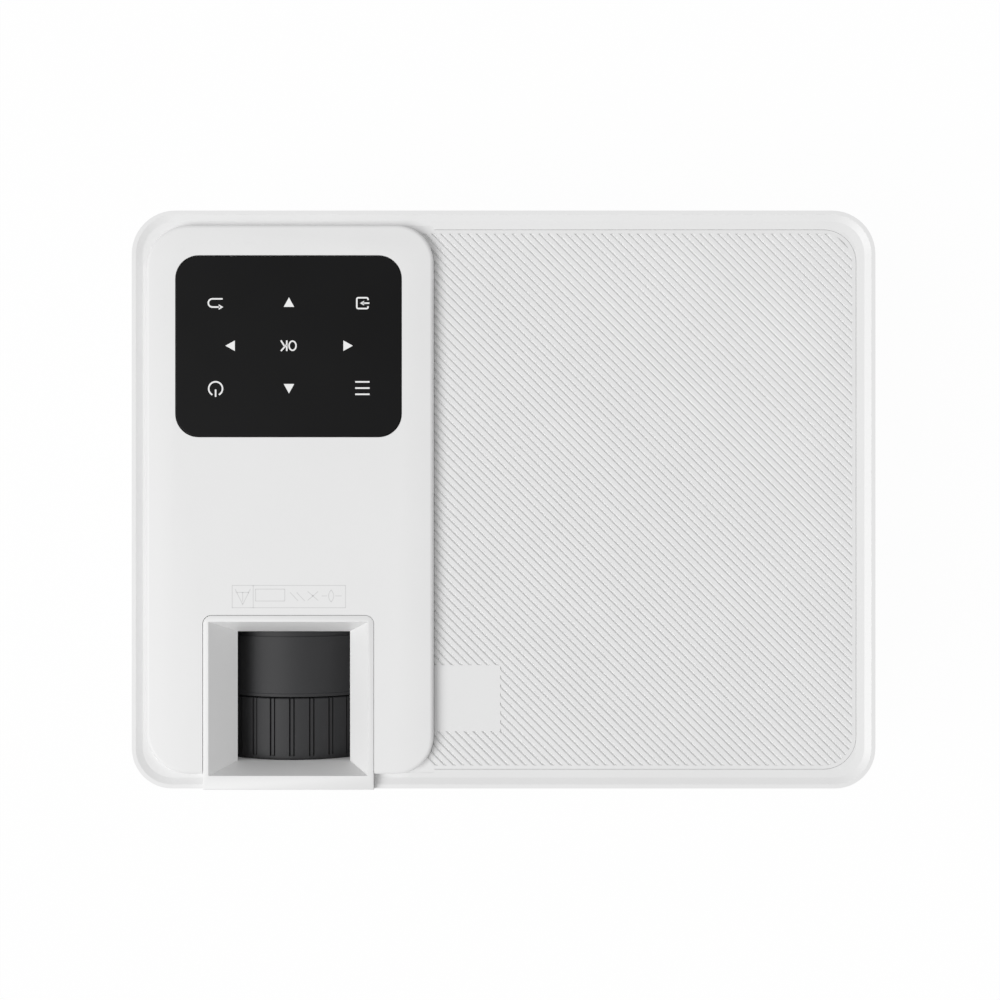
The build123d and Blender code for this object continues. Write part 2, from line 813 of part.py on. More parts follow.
with BuildPart() as lens_surround:
    extrude(surround_plan(surround_bottom, 0, front_face), amount=overall_height - surround_bottom)
    with BuildSketch(level(surround_plate_bottom)):
        between(surround_left, surround_right, front_face, window_front)
    extrude(amount=surround_bottom - surround_plate_bottom)
    # window: four slopes that narrow towards the barrel
    with BuildSketch(level(overall_height)):
        between(window_left, window_right, window_front, window_back, window_corner_radius)
    with BuildSketch(level(window_bottom)):
        between(window_left + side_step, window_right - side_step,
                window_front + end_step, window_back - end_step, window_corner_radius)
    loft(mode=Mode.SUBTRACT)
    with BuildSketch(level(surround_bottom)):
        between(window_left + side_step, window_right - side_step,
                window_front + end_step, window_back - end_step, window_corner_radius)
    extrude(amount=window_depth, mode=Mode.SUBTRACT)
    # saddle that clears the round barrel
    with BuildSketch(facing_front(lens_x, surround_back, barrel_axis)):
        Circle(barrel_radius + barrel_gap)
    extrude(amount=surround_back - window_front, mode=Mode.SUBTRACT)
    # lens port through the front plate, flared outwards
    with BuildSketch(facing_front(lens_x, window_front, barrel_axis)):
        Circle(port_radius)
    with BuildSketch(facing_front(lens_x, front_face, barrel_axis)):
        Circle(port_radius + port_flare)
    loft(mode=Mode.SUBTRACT)
finish(lens_surround, "lens_surround")

# ---- front plates: louvred speaker grille and infra-red window ---------------------------------
with BuildPart() as speaker_grille:
    grille_plane = facing_front(speaker_grille_x, front_face, speaker_grille_z)
    extrude(rounded_rectangle(grille_plane, speaker_grille_width, speaker_grille_height, speaker_grille_radius),
            amount=-speaker_grille_thickness)
    grille_slots = int((speaker_grille_width - 2 * speaker_grille_edge) / vent_slot_pitch)
    extrude(slot_row(grille_plane, grille_slots, vent_slot_pitch, vent_slot_width,
                     speaker_grille_height - 2 * speaker_grille_edge),
            amount=-speaker_grille_thickness, mode=Mode.SUBTRACT)
finish(speaker_grille, "speaker_grille")

speaker_front = front_face + speaker_grille_thickness
with BuildPart() as speakers:
    for side in (-1, 1):
        speaker_x = speaker_grille_x + side * speaker_spacing / 2
        with BuildSketch(facing_back(speaker_x, speaker_front, speaker_grille_z)):
            Circle(speaker_radius - seam_gap)
        extrude(amount=speaker_rim)
        with BuildSketch(facing_back(speaker_x, speaker_front + speaker_rim, speaker_grille_z)):
            Circle(speaker_radius - speaker_rim)
        with BuildSketch(facing_back(speaker_x, speaker_front + speaker_depth / 2, speaker_grille_z)):
            Circle(speaker_magnet_radius)
        loft()
        with BuildSketch(facing_back(speaker_x, speaker_front + speaker_depth / 2, speaker_grille_z)):
            Circle(speaker_magnet_radius)
        extrude(amount=speaker_depth / 2)
finish(speakers, "speakers")

with BuildPart() as infrared_window:
    window_plane = facing_front(ir_window_x, front_face, ir_window_z)
    extrude(rounded_rectangle(window_plane, ir_window_width, ir_window_height, ir_window_height / 3),
            amount=-case_wall)
    flange_plane = facing_front(ir_window_x, front_face + case_wall, ir_window_z)
    extrude(rounded_rectangle(flange_plane, ir_window_width + 2 * ir_window_flange,
                              ir_window_height + 2 * ir_window_flange, ir_window_height / 3),
            amount=-ir_window_flange)
finish(infrared_window, "infrared_window")

# ---- rear sockets on the main board -------------------------------------------------------------
board_top = board_height + board_thickness
hdmi_z = board_top + hdmi_height / 2
usb_z = board_top + usb_height / 2
jack_z = board_top + jack_body_height / 2
inlet_z = port_panel_z
panel_inside = back_face - port_panel_thickness
socket_face = panel_inside - seam_gap

with BuildPart() as port_panel:
    socket_plane = facing_back(port_panel_x, back_face, port_panel_z)
    extrude(rounded_rectangle(socket_plane, port_panel_width, port_panel_height, port_panel_radius),
            amount=-port_panel_thickness)
    for hdmi_side in (-1, 1):
        hdmi_plane = facing_back(hdmi_x + hdmi_side * hdmi_spacing / 2, back_face, hdmi_z)
        extrude(rounded_rectangle(hdmi_plane, hdmi_width + 2 * port_clearance,
                                  hdmi_height + 2 * port_clearance, port_clearance),
                amount=-port_panel_thickness, mode=Mode.SUBTRACT)
    extrude(rounded_rectangle(facing_back(usb_x, back_face, usb_z), usb_width + 2 * port_clearance,
                              usb_height + 2 * port_clearance, port_clearance),
            amount=-port_panel_thickness, mode=Mode.SUBTRACT)
    extrude(rounded_rectangle(facing_back(inlet_x, back_face, inlet_z), inlet_width + 2 * port_clearance,
                              inlet_height + 2 * port_clearance, port_clearance),
            amount=-port_panel_thickness, mode=Mode.SUBTRACT)
    for jack_x in (jack_phones_x, jack_av_x):
        with BuildSketch(facing_back(jack_x, back_face, jack_z)):
            Circle(jack_nose_radius + port_clearance)
        extrude(amount=-port_panel_thickness, mode=Mode.SUBTRACT)
finish(port_panel, "port_panel")

with BuildPart() as main_board:
    with BuildSketch(level(board_height)):
        between(main_board_left, main_board_right, main_board_front, main_board_back - hdmi_height)
        with Locations((main_board_x, main_board_y)):
            with GridLocations(board_post_dx, board_post_dy, 2, 2):
                Circle(screw_shank_radius, mode=Mode.SUBTRACT)
    extrude(amount=board_thickness)
    with BuildSketch(level(board_top)):
        with Locations((main_board_x, main_board_front + heat_spreader_side)):
            Rectangle(heat_spreader_side, heat_spreader_side)
            with GridLocations(heat_spreader_side / 3, 0, 3, 1):
                Rectangle(chip_height, heat_spreader_side, mode=Mode.SUBTRACT)
    extrude(amount=heat_spreader_height)
    with BuildSketch(level(board_top)):
        with Locations((main_board_x, main_board_front + heat_spreader_side)):
            with GridLocations(2.6 * heat_spreader_side, 0, 2, 1):
                Rectangle(chip_side, chip_side)
    extrude(amount=chip_height)
finish(main_board, "main_board")

with BuildPart() as hdmi_sockets:
    for hdmi_side in (-1, 1):
        hdmi_plane = facing_back(hdmi_x + hdmi_side * hdmi_spacing / 2, back_face, hdmi_z)
        with BuildSketch(hdmi_plane):
            Rectangle(hdmi_width, hdmi_height)
        extrude(amount=-hdmi_depth)
        with BuildSketch(hdmi_plane) as hdmi_mouth:
            Rectangle(hdmi_width - 2 * hdmi_shell, hdmi_height - 2 * hdmi_shell)
            chamfer(hdmi_mouth.vertices().group_by(Axis.Y)[0], hdmi_tongue)
        extrude(amount=-hdmi_depth + 2 * hdmi_shell, mode=Mode.SUBTRACT)
        with BuildSketch(facing_back(hdmi_x + hdmi_side * hdmi_spacing / 2, back_face - hdmi_depth, hdmi_z)):
            Rectangle(hdmi_width - 4 * hdmi_tongue, hdmi_tongue)
        extrude(amount=hdmi_depth - 2 * hdmi_shell)
finish(hdmi_sockets, "hdmi_sockets")

with BuildPart() as usb_socket:
    usb_plane = facing_back(usb_x, back_face, usb_z)
    with BuildSketch(usb_plane):
        Rectangle(usb_width, usb_height)
    extrude(amount=-usb_depth)
    with BuildSketch(usb_plane):
        Rectangle(usb_width - 2 * usb_shell, usb_height - 2 * usb_shell)
    extrude(amount=-usb_depth + 2 * usb_shell, mode=Mode.SUBTRACT)
    with BuildSketch(facing_back(usb_x, back_face - usb_depth, usb_z + usb_tongue / 2)):
        Rectangle(usb_width - 4 * usb_shell, usb_tongue)
    extrude(amount=usb_depth - 2 * usb_shell)
finish(usb_socket, "usb_socket")


def build_jack(jack_x):
    """Round 3.5 mm socket: a square body on the board and a nose through the panel."""
    with BuildPart() as jack:
        with BuildSketch(facing_back(jack_x, socket_face, jack_z)):
            Rectangle(jack_body_width, jack_body_height)
        extrude(amount=-jack_body_depth)
        with BuildSketch(facing_back(jack_x, socket_face, jack_z)):
            Circle(jack_nose_radius)
        extrude(amount=back_face - socket_face)
        with BuildSketch(facing_back(jack_x, back_face, jack_z)):
            Circle(jack_bore_radius)
        extrude(amount=-jack_bore_length, mode=Mode.SUBTRACT)
    return jack


finish(build_jack(jack_phones_x), "headphone_jack")
finish(build_jack(jack_av_x), "av_jack")

with BuildPart() as power_inlet:
    inlet_plane = facing_back(inlet_x, back_face, inlet_z)
    extrude(rounded_rectangle(inlet_plane, inlet_width, inlet_height, port_panel_radius / 3),
            amount=-inlet_depth)
    with BuildSketch(inlet_plane):
        SlotOverall(inlet_mouth_width, inlet_mouth_height)
    extrude(amount=-inlet_mouth_depth, mode=Mode.SUBTRACT)
    with BuildSketch(facing_back(inlet_x, back_face - inlet_depth, inlet_z)):
        with GridLocations(inlet_pin_spacing, 0, 2, 1):
            Circle(inlet_pin_radius + seam_gap)
    extrude(amount=inlet_depth, mode=Mode.SUBTRACT)
finish(power_inlet, "power_inlet")

with BuildPart() as inlet_pins:
    with BuildSketch(facing_back(inlet_x, back_face - inlet_depth, inlet_z)):
        with GridLocations(inlet_pin_spacing, 0, 2, 1):
            Circle(inlet_pin_radius)
    extrude(amount=inlet_depth - inlet_mouth_depth + inlet_pin_length)
    fillet(inlet_pins.faces().group_by(Axis.Y)[-1].edges(), inlet_pin_radius / 2)
finish(inlet_pins, "inlet_pins")

# ---- power supply: open board with its transformer, capacitor and heat plate --------------------
power_top = power_base + board_thickness
with BuildPart() as power_supply:
    with BuildSketch(level(power_base)):
        between(power_left, power_right, power_front, power_back)
    extrude(amount=board_thickness)
    with BuildSketch(level(power_top)):
        with Locations((power_x, power_y)):
            Rectangle(transformer_length, transformer_width)
    extrude(amount=transformer_height)
    with BuildSketch(level(power_top)):
        with Locations((power_right - 3 * capacitor_radius, power_y)):
            Circle(capacitor_radius)
    extrude(amount=capacitor_height)
    with BuildSketch(level(power_top)):
        with Locations((power_left + power_sink_length / 2 + board_post_inset, power_back - 2 * board_post_inset)):
            Rectangle(power_sink_length, power_sink_thickness)
    extrude(amount=power_sink_height)
finish(power_supply, "power_supply")

# ---- light engine: box with ribs for the optics, open at both ends -------------------------------
engine_inner_width = engine_width - 2 * engine_wall
engine_floor = engine_bottom + engine_wall
optic_bottom = engine_floor
neck_back = engine_front - sleeve_flange_thickness
optic_planes = (
    (fresnel_field_y, fresnel_thickness),
    (lcd_y, lcd_thickness),
    (fresnel_lamp_y, fresnel_thickness),
    (heat_glass_y, heat_glass_thickness),
)
lid_thickness = engine_wall
engine_rim = engine_top - lid_thickness
fan_window_radius = intake_fan_size / 2 - fan_wall

with BuildPart() as engine_case:
    with BuildSketch(level(engine_bottom)):
        between(engine_left, engine_right, engine_front, engine_back)
    extrude(amount=engine_rim - engine_bottom)
    with BuildSketch(level(engine_floor)):
        between(engine_left + engine_wall, engine_right - engine_wall,
                engine_front + engine_wall, engine_back - engine_wall)
    extrude(amount=engine_rim - engine_floor, mode=Mode.SUBTRACT)
    with BuildSketch(level(engine_floor)):
        between(engine_left + engine_wall, engine_right - engine_wall,
                bulkhead_y, bulkhead_y + bulkhead_thickness)
        for optic_y, optic_thickness in optic_planes:
            for rib_y in (optic_y - optic_gap - engine_rib, optic_y + optic_thickness + optic_gap):
                between(engine_left + engine_wall, engine_left + engine_wall + engine_rib_width,
                        rib_y, rib_y + engine_rib)
                between(engine_right - engine_wall - engine_rib_width, engine_right - engine_wall,
                        rib_y, rib_y + engine_rib)
    extrude(amount=engine_rim - engine_floor)
    with BuildSketch(facing_front(lens_x, engine_front, barrel_axis)):
        Circle(neck_bore_radius)
    extrude(amount=-engine_wall, mode=Mode.SUBTRACT)
    with BuildSketch(facing_back(lens_x, bulkhead_y, barrel_axis)):
        Circle(condenser_radius - condenser_seat)
    extrude(amount=bulkhead_thickness, mode=Mode.SUBTRACT)
    with BuildSketch(facing_back(lens_x, bulkhead_y + bulkhead_thickness - condenser_seat, barrel_axis)):
        Circle(condenser_radius + seam_gap)
    extrude(amount=condenser_seat, mode=Mode.SUBTRACT)
    with BuildSketch(facing_back(lens_x, engine_back, barrel_axis)):
        Rectangle(led_window_side, led_window_side)
    extrude(amount=-engine_wall, mode=Mode.SUBTRACT)
    with BuildSketch(facing_right(engine_right, intake_fan_y, barrel_axis)):
        Circle(fan_window_radius)
    extrude(amount=-engine_wall, mode=Mode.SUBTRACT)
finish(engine_case, "engine_case")

with BuildPart() as engine_lid:
    with BuildSketch(level(engine_rim)):
        between(engine_left, engine_right, engine_front, engine_back)
        with Locations((lens_x, engine_middle_y)):
            with GridLocations(engine_post_dx, engine_post_dy, 2, 2):
                Circle(screw_shank_radius, mode=Mode.SUBTRACT)
    extrude(amount=lid_thickness)
finish(engine_lid, "engine_lid")

with BuildPart() as fresnel_lenses:
    for fresnel_y in (fresnel_field_y, fresnel_lamp_y):
        fresnel_z = optic_bottom + fresnel_height / 2
        with BuildSketch(facing_back(lens_x, fresnel_y, fresnel_z)):
            Rectangle(fresnel_width, fresnel_height)
        extrude(amount=fresnel_thickness)
finish(fresnel_lenses, "fresnel_lenses")

with BuildPart() as lcd_panel:
    lcd_z = optic_bottom + lcd_height / 2
    with BuildSketch(facing_back(lens_x, lcd_y, lcd_z)):
        Rectangle(lcd_width, lcd_height)
    extrude(amount=lcd_thickness)
    for lcd_face in (facing_front(lens_x, lcd_y, lcd_z), facing_back(lens_x, lcd_y + lcd_thickness, lcd_z)):
        with BuildSketch(lcd_face):
            Rectangle(lcd_active_width, lcd_active_height)
        extrude(amount=-lcd_recess, mode=Mode.SUBTRACT)
finish(lcd_panel, "lcd_panel")

with BuildPart() as heat_glass:
    with BuildSketch(facing_back(lens_x, heat_glass_y, optic_bottom + fresnel_height / 2)):
        Rectangle(fresnel_width, fresnel_height)
    extrude(amount=heat_glass_thickness)
finish(heat_glass, "heat_glass")


def dome_height(sphere_radius, rim_radius):
    """Height of a spherical cap over its rim."""
    return sphere_radius - sqrt(sphere_radius ** 2 - rim_radius ** 2)


def build_lens(back_y, direction, rim_radius, rim_thickness, sphere_radius):
    """Round lens about the optical axis: flat at back_y, domed at the far end."""
    rise = dome_height(sphere_radius, rim_radius)
    with BuildPart() as lens:
        with BuildSketch(Plane((lens_x, back_y, barrel_axis), x_dir=(1, 0, 0), z_dir=(0, 0, 1))):
            with BuildLine():
                far = direction * rim_thickness
                top = direction * (rim_thickness + rise)
                lean = (rim_radius / 2, far + direction * (
                    sqrt(sphere_radius ** 2 - rim_radius ** 2 / 4) - sphere_radius + rise))
                Polyline((0, top), (0, 0), (rim_radius, 0), (rim_radius, far))
                ThreePointArc((rim_radius, far), lean, (0, top))
            make_face()
        revolve(axis=Axis((lens_x, back_y, barrel_axis), (0, 1, 0)))
    return lens


finish(build_lens(bulkhead_y + bulkhead_thickness - condenser_seat, 1, condenser_radius,
                  condenser_rim, condenser_dome_radius), "condenser_lens")

with BuildPart() as led_module:
    with BuildSketch(facing_back(lens_x, engine_back, barrel_axis)):
        Rectangle(led_board_side, led_board_side)
        with GridLocations(led_board_side - 2 * screw_head_radius, led_board_side - 2 * screw_head_radius, 2, 2):
            Circle(screw_shank_radius, mode=Mode.SUBTRACT)
    extrude(amount=led_board_thickness)
    with BuildSketch(facing_front(lens_x, engine_back, barrel_axis)) as chip:
        Rectangle(led_chip_side, led_chip_side)
    extrude(amount=led_chip_height)
finish(led_module, "led_module")

heatsink_y = engine_back + led_board_thickness
with BuildPart() as heatsink:
    heatsink_plane = facing_back(lens_x, heatsink_y, barrel_axis)
    with BuildSketch(heatsink_plane):
        Rectangle(engine_width, engine_height)
    extrude(amount=heatsink_base)
    with BuildSketch(heatsink_plane.offset(heatsink_base)):
        fin_pitch = (engine_width - heatsink_fin_thickness) / (heatsink_fin_count - 1)
        with GridLocations(fin_pitch, 0, heatsink_fin_count, 1):
            Rectangle(heatsink_fin_thickness, engine_height)
    extrude(amount=heatsink_reach - heatsink_base)
finish(heatsink, "heatsink")


# ---- fans: square frame with struts and a hub pin, and a bladed rotor that runs on the pin --------
def build_fan_frame(plane, size, depth):
    """Frame whose open mouth faces along the plane, with its struts at the plane."""
    with BuildPart() as frame:
        extrude(rounded_rectangle(plane, size, size, fan_corner_radius), amount=depth)
        with BuildSketch(plane):
            Circle(size / 2 - fan_wall)
            with GridLocations(size - 2 * fan_screw_inset, size - 2 * fan_screw_inset, 2, 2):
                Circle(fan_screw_radius)
        extrude(amount=depth, mode=Mode.SUBTRACT)
        with BuildSketch(plane) as struts:
            with PolarLocations(0, 3):
                with Locations((size / 4, 0)):
                    Rectangle(size / 2, fan_strut_width)
            Circle(size * fan_hub_share / 2)
        extrude(amount=fan_strut_thickness)
        with BuildSketch(plane.offset(fan_strut_thickness)):
            Circle(fan_pin_radius)
        extrude(amount=depth / 2)
    return frame


def build_fan_rotor(plane, size, depth):
    """Hub cap bored for the pin, with slanting blades round it."""
    tip_radius = size / 2 - fan_wall - fan_tip_gap
    hub_radius = size * fan_hub_share / 2
    rotor_start = fan_strut_thickness + fan_tip_gap
    rotor_depth = depth - rotor_start - fan_tip_gap
    blade_length = rotor_depth / cos(radians(fan_blade_pitch))
    with BuildPart() as rotor:
        with BuildSketch(plane.offset(rotor_start)):
            Circle(hub_radius)
        extrude(amount=rotor_depth)
        for blade in range(fan_blade_count):
            turn = blade * 2 * pi / fan_blade_count
            outward = plane.x_dir * cos(turn) + plane.y_dir * sin(turn)
            around = plane.y_dir * cos(turn) - plane.x_dir * sin(turn)
            middle = plane.offset(rotor_start + rotor_depth / 2).origin
            section = Plane(middle + outward * (hub_radius - fan_wall), x_dir=around, z_dir=outward)
            with BuildSketch(section):
                with Locations(Location((0, 0), fan_blade_pitch)):
                    Rectangle(fan_blade_thickness, blade_length)
            extrude(amount=tip_radius + fan_wall - hub_radius - fan_tip_gap)
        with BuildSketch(plane.offset(rotor_start)):
            Circle(size)
            Circle(tip_radius, mode=Mode.SUBTRACT)
        extrude(amount=rotor_depth, mode=Mode.SUBTRACT)
        with BuildSketch(plane.offset(-size)):
            Circle(size)
        extrude(amount=size + rotor_start, mode=Mode.SUBTRACT)
        with BuildSketch(plane.offset(rotor_start + rotor_depth)):
            Circle(size)
        extrude(amount=size, mode=Mode.SUBTRACT)
        with BuildSketch(plane.offset(rotor_start)):
            Circle(fan_pin_radius + fan_pin_gap)
        extrude(amount=depth / 2 - fan_tip_gap + fan_pin_gap + fan_tip_gap, mode=Mode.SUBTRACT)
    return rotor


exhaust_plane = facing_front(lens_x, back_face - case_wall, barrel_axis)
intake_plane = facing_right(engine_right, intake_fan_y, barrel_axis)
finish(build_fan_frame(exhaust_plane, exhaust_fan_size, exhaust_fan_depth), "exhaust_fan_frame")
finish(build_fan_rotor(exhaust_plane, exhaust_fan_size, exhaust_fan_depth), "exhaust_fan_rotor")
finish(build_fan_frame(intake_plane, intake_fan_size, intake_fan_depth), "intake_fan_frame")
finish(build_fan_rotor(intake_plane, intake_fan_size, intake_fan_depth), "intake_fan_rotor")

# ---- barrel: fixed sleeve, grooved focus ring, its retainer and the lens cell inside ------------
retainer_back = ring_front - retainer_gap
neck_front = retainer_back - retainer_thickness
cell_front = neck_front + cell_recess + focus_travel
cell_back = cell_front + cell_length
cell_radius = neck_bore_radius - cell_gap
cell_bore = cell_radius - cell_wall
pin_y = (ring_front + ring_back) / 2 + focus_travel / 2
channel_depth = cam_pin_reach + cam_gap
channel_front = pin_y - focus_travel - cam_pin_radius - cam_gap
channel_back = pin_y + cam_pin_radius + cam_gap
ring_bore = neck_radius + bearing_gap
sleeve_front = ring_back + ring_seam


def tube(y_front, y_back, outer, inner, mode=Mode.ADD):
    """Tube about the optical axis, from a front to a back place, in the part that is open."""
    with BuildSketch(facing_back(lens_x, y_front, barrel_axis)) as wall:
        Circle(outer)
        if inner > 0:
            Circle(inner, mode=Mode.SUBTRACT)
    extrude(wall.sketch, amount=y_back - y_front, mode=mode)


with BuildPart() as lens_sleeve:
    tube(neck_front, engine_front, neck_radius, neck_bore_radius)
    tube(sleeve_front, sleeve_step_y, barrel_radius, neck_bore_radius)
    tube(sleeve_step_y, neck_back, barrel_radius - sleeve_step_drop, neck_bore_radius)
    tube(neck_back, engine_front, sleeve_flange_radius, neck_bore_radius)
    for slot_number in range(cam_pin_count):
        slot_turn = slot_number * 360 / cam_pin_count + 90
        slot_plane = Plane((lens_x, pin_y - focus_travel / 2, barrel_axis),
                           x_dir=(0, 1, 0), z_dir=(cos(radians(slot_turn)), 0, sin(radians(slot_turn))))
        with BuildSketch(slot_plane):
            SlotOverall(focus_travel + 2 * cam_pin_radius + 2 * cam_gap, 2 * cam_pin_radius + 2 * cam_gap)
        extrude(amount=neck_radius + cam_gap, mode=Mode.SUBTRACT)
finish(lens_sleeve, "lens_sleeve")

with BuildPart() as focus_ring:
    tube(ring_front, ring_back, barrel_radius, ring_bore)
    tube(channel_front, channel_back, neck_radius + channel_depth, ring_bore - bearing_gap, mode=Mode.SUBTRACT)
    with BuildSketch(facing_back(lens_x, ring_front + ring_groove_land, barrel_axis)):
        with PolarLocations(barrel_radius, ring_groove_count, start_angle=90):
            Rectangle(2 * ring_groove_depth, ring_groove_width)
    extrude(amount=ring_back - ring_front - ring_groove_land, mode=Mode.SUBTRACT)
finish(focus_ring, "focus_ring")

with BuildPart() as ring_retainer:
    tube(neck_front, retainer_back, retainer_radius, neck_radius + seam_gap)
finish(ring_retainer, "ring_retainer")

with BuildPart() as lens_cell:
    tube(cell_front, cell_back, cell_radius, cell_bore - cell_seat_depth)
    tube(cell_front, cell_front + front_glass_thickness, cell_bore, 0, mode=Mode.SUBTRACT)
    tube(cell_back - rear_glass_thickness, cell_back, cell_bore, 0, mode=Mode.SUBTRACT)
    for pin_number in range(cam_pin_count):
        pin_turn = pin_number * 360 / cam_pin_count + 90
        with BuildSketch(Plane((lens_x, pin_y, barrel_axis), x_dir=(0, 1, 0),
                               z_dir=(cos(radians(pin_turn)), 0, sin(radians(pin_turn)))).offset(cell_radius - cell_wall / 2)):
            Circle(cam_pin_radius / 2)
        extrude(amount=cell_wall, mode=Mode.SUBTRACT)
finish(lens_cell, "lens_cell")

with BuildPart() as cam_pins:
    for pin_number in range(cam_pin_count):
        pin_turn = pin_number * 360 / cam_pin_count + 90
        pin_plane = Plane((lens_x, pin_y, barrel_axis), x_dir=(0, 1, 0),
                          z_dir=(cos(radians(pin_turn)), 0, sin(radians(pin_turn))))
        with BuildSketch(pin_plane.offset(cell_radius - cell_wall / 2)):
            Circle(cam_pin_radius / 2)
        extrude(amount=cell_wall / 2 + cell_gap)
        with BuildSketch(pin_plane.offset(cell_radius + cell_gap)):
            Circle(cam_pin_radius)
        extrude(amount=neck_radius + cam_pin_reach - cell_radius - cell_gap)
finish(cam_pins, "cam_pins")

front_glass_back = cell_front + front_glass_thickness
rear_glass_front = cell_back - rear_glass_thickness
lens_rim_radius = cell_bore - glass_gap / 3
front_rim = front_glass_thickness - dome_height(front_dome_radius, lens_rim_radius)
rear_rim = rear_glass_thickness - dome_height(rear_dome_radius, lens_rim_radius)
finish(build_lens(front_glass_back, -1, lens_rim_radius, front_rim, front_dome_radius), "front_lens")
finish(build_lens(rear_glass_front, 1, lens_rim_radius, rear_rim, rear_dome_radius), "rear_lens")

# ---- disc drive: pan and cover of sheet, hung under the roof ------------------------------------
pan_top = drive_top - drive_sheet
tray_rear = drive_left + drive_sheet + tray_rear_gap
tray_front = drive_right
tray_bottom = drive_bottom + drive_sheet + tray_bottom_gap
tray_top = tray_bottom + tray_height
flange_bottom = tray_top - tray_flange_thickness
well_floor = tray_top - disc_well_depth
tray_ceiling = well_floor - tray_floor_thickness
spindle_x = tray_front - spindle_inset
drive_half = drive_width / 2
pan_inner = drive_half - drive_sheet
rail_outer = pan_inner - rail_gap
rail_inner = rail_outer - rail_width
rail_bottom = drive_bottom + drive_sheet + rail_gap
rail_left = drive_left + drive_sheet + rail_gap

with BuildPart() as drive_chassis:
    with BuildSketch(level(drive_bottom)):
        between(drive_left, drive_right, -drive_half, drive_half)
    extrude(amount=drive_height - drive_sheet)
    with BuildSketch(level(drive_bottom + drive_sheet)):
        between(drive_left + drive_sheet, drive_right, -pan_inner, pan_inner)
    extrude(amount=drive_height, mode=Mode.SUBTRACT)
    with BuildSketch(level(drive_bottom)):
        with Locations((drive_x, 0)):
            with GridLocations(drive_depth / 3, drive_width / 2, 3, 2):
                SlotOverall(drive_depth / 5, vent_slot_width)
    extrude(amount=drive_sheet, mode=Mode.SUBTRACT)
finish(drive_chassis, "drive_chassis")

with BuildPart() as drive_cover:
    with BuildSketch(level(pan_top)):
        between(drive_left, drive_right, -drive_half, drive_half)
        with Locations((drive_x, 0)):
            with GridLocations(drive_depth - 2 * drive_boss_inset, drive_width - 2 * drive_boss_inset, 2, 2):
                Circle(screw_shank_radius, mode=Mode.SUBTRACT)
    extrude(amount=drive_sheet)
finish(drive_cover, "drive_cover")

with BuildPart() as slide_rails:
    for side in (-1, 1):
        rail_y = side * (rail_outer + rail_inner) / 2
        with BuildSketch(facing_right(rail_left, rail_y, rail_bottom + rail_height / 2)) as rail_section:
            Rectangle(rail_width, rail_height)
            with Locations((-side * rail_width / 2, 0)):
                Rectangle(rail_width, rail_height / 3, mode=Mode.SUBTRACT)
        extrude(amount=rail_length)
finish(slide_rails, "slide_rails")

# ---- mechanism under the tray, laid out on one slanting line from the spindle --------------------
mechanism_axis = (cos(radians(mechanism_angle)), sin(radians(mechanism_angle)), 0)
plate_bottom = tray_bottom + glass_gap
plate_top = plate_bottom + mechanism_plate_thickness


def on_mechanism(height):
    """Level plane at the spindle, its own x along the sled's path."""
    return Plane((spindle_x, 0, height), x_dir=mechanism_axis, z_dir=(0, 0, 1))


def window_plan(height, margin):
    """Round hub window that runs out into the slot over the laser sled."""
    with BuildSketch(on_mechanism(height)) as window:
        Circle(hub_flange_radius + margin)
        between(0, sled_start + sled_travel + sled_length / 2 + margin,
                -objective_seat_radius * 2 - margin, objective_seat_radius * 2 + margin, margin)
    return window.sketch


mechanism_end = rod_end + 2
with BuildPart() as disc_tray:
    with BuildSketch(level(tray_bottom)):
        between(tray_rear, tray_front, -tray_half_width, tray_half_width)
    extrude(amount=tray_height)
    with BuildSketch(level(flange_bottom)):
        between(tray_rear, tray_front, -tray_flange_reach, tray_flange_reach)
    extrude(amount=tray_flange_thickness)
    with BuildSketch(level(tray_bottom)):
        between(tray_rear + tray_skirt, tray_front - tray_skirt,
                tray_skirt - tray_half_width, tray_half_width - tray_skirt)
    extrude(amount=tray_ceiling - tray_bottom, mode=Mode.SUBTRACT)
    with BuildSketch(level(well_floor)):
        with Locations((spindle_x, 0)):
            Circle(disc_well_radius)
    extrude(amount=disc_well_depth, mode=Mode.SUBTRACT)
    extrude(window_plan(tray_ceiling, 2 * sled_gap), amount=tray_floor_thickness, mode=Mode.SUBTRACT)
    # posts that the mechanism plate is screwed to
    with BuildSketch(on_mechanism(plate_top)):
        with Locations((mechanism_start + post_inset, 0), (mechanism_end - post_inset, 0)):
            Circle(post_radius)
    extrude(amount=tray_ceiling - plate_top)
finish(disc_tray, "disc_tray")

bezel_z = drive_z
with BuildPart() as tray_bezel:
    extrude(rounded_rectangle(facing_right(tray_front, 0, bezel_z), bezel_width, bezel_height, 2 * bezel_gap),
            amount=right_face - tray_front)
    chamfer(tray_bezel.faces().sort_by(Axis.X)[-1].edges(), bezel_gap)
    extrude(rounded_rectangle(facing_right(tray_front, button_y, bezel_z), button_width + 2 * button_gap,
                              button_height + 2 * button_gap, button_height / 3),
            amount=right_face - tray_front, mode=Mode.SUBTRACT)
finish(tray_bezel, "tray_bezel")

button_back = tray_front + button_travel + button_gap
with BuildPart() as eject_button:
    extrude(rounded_rectangle(facing_right(button_back, button_y, bezel_z),
                              button_width, button_height, button_height / 3),
            amount=right_face - bezel_gap - button_back)
    fillet(eject_button.faces().sort_by(Axis.X)[-1].edges(), bezel_gap / 2)
finish(eject_button, "eject_button")

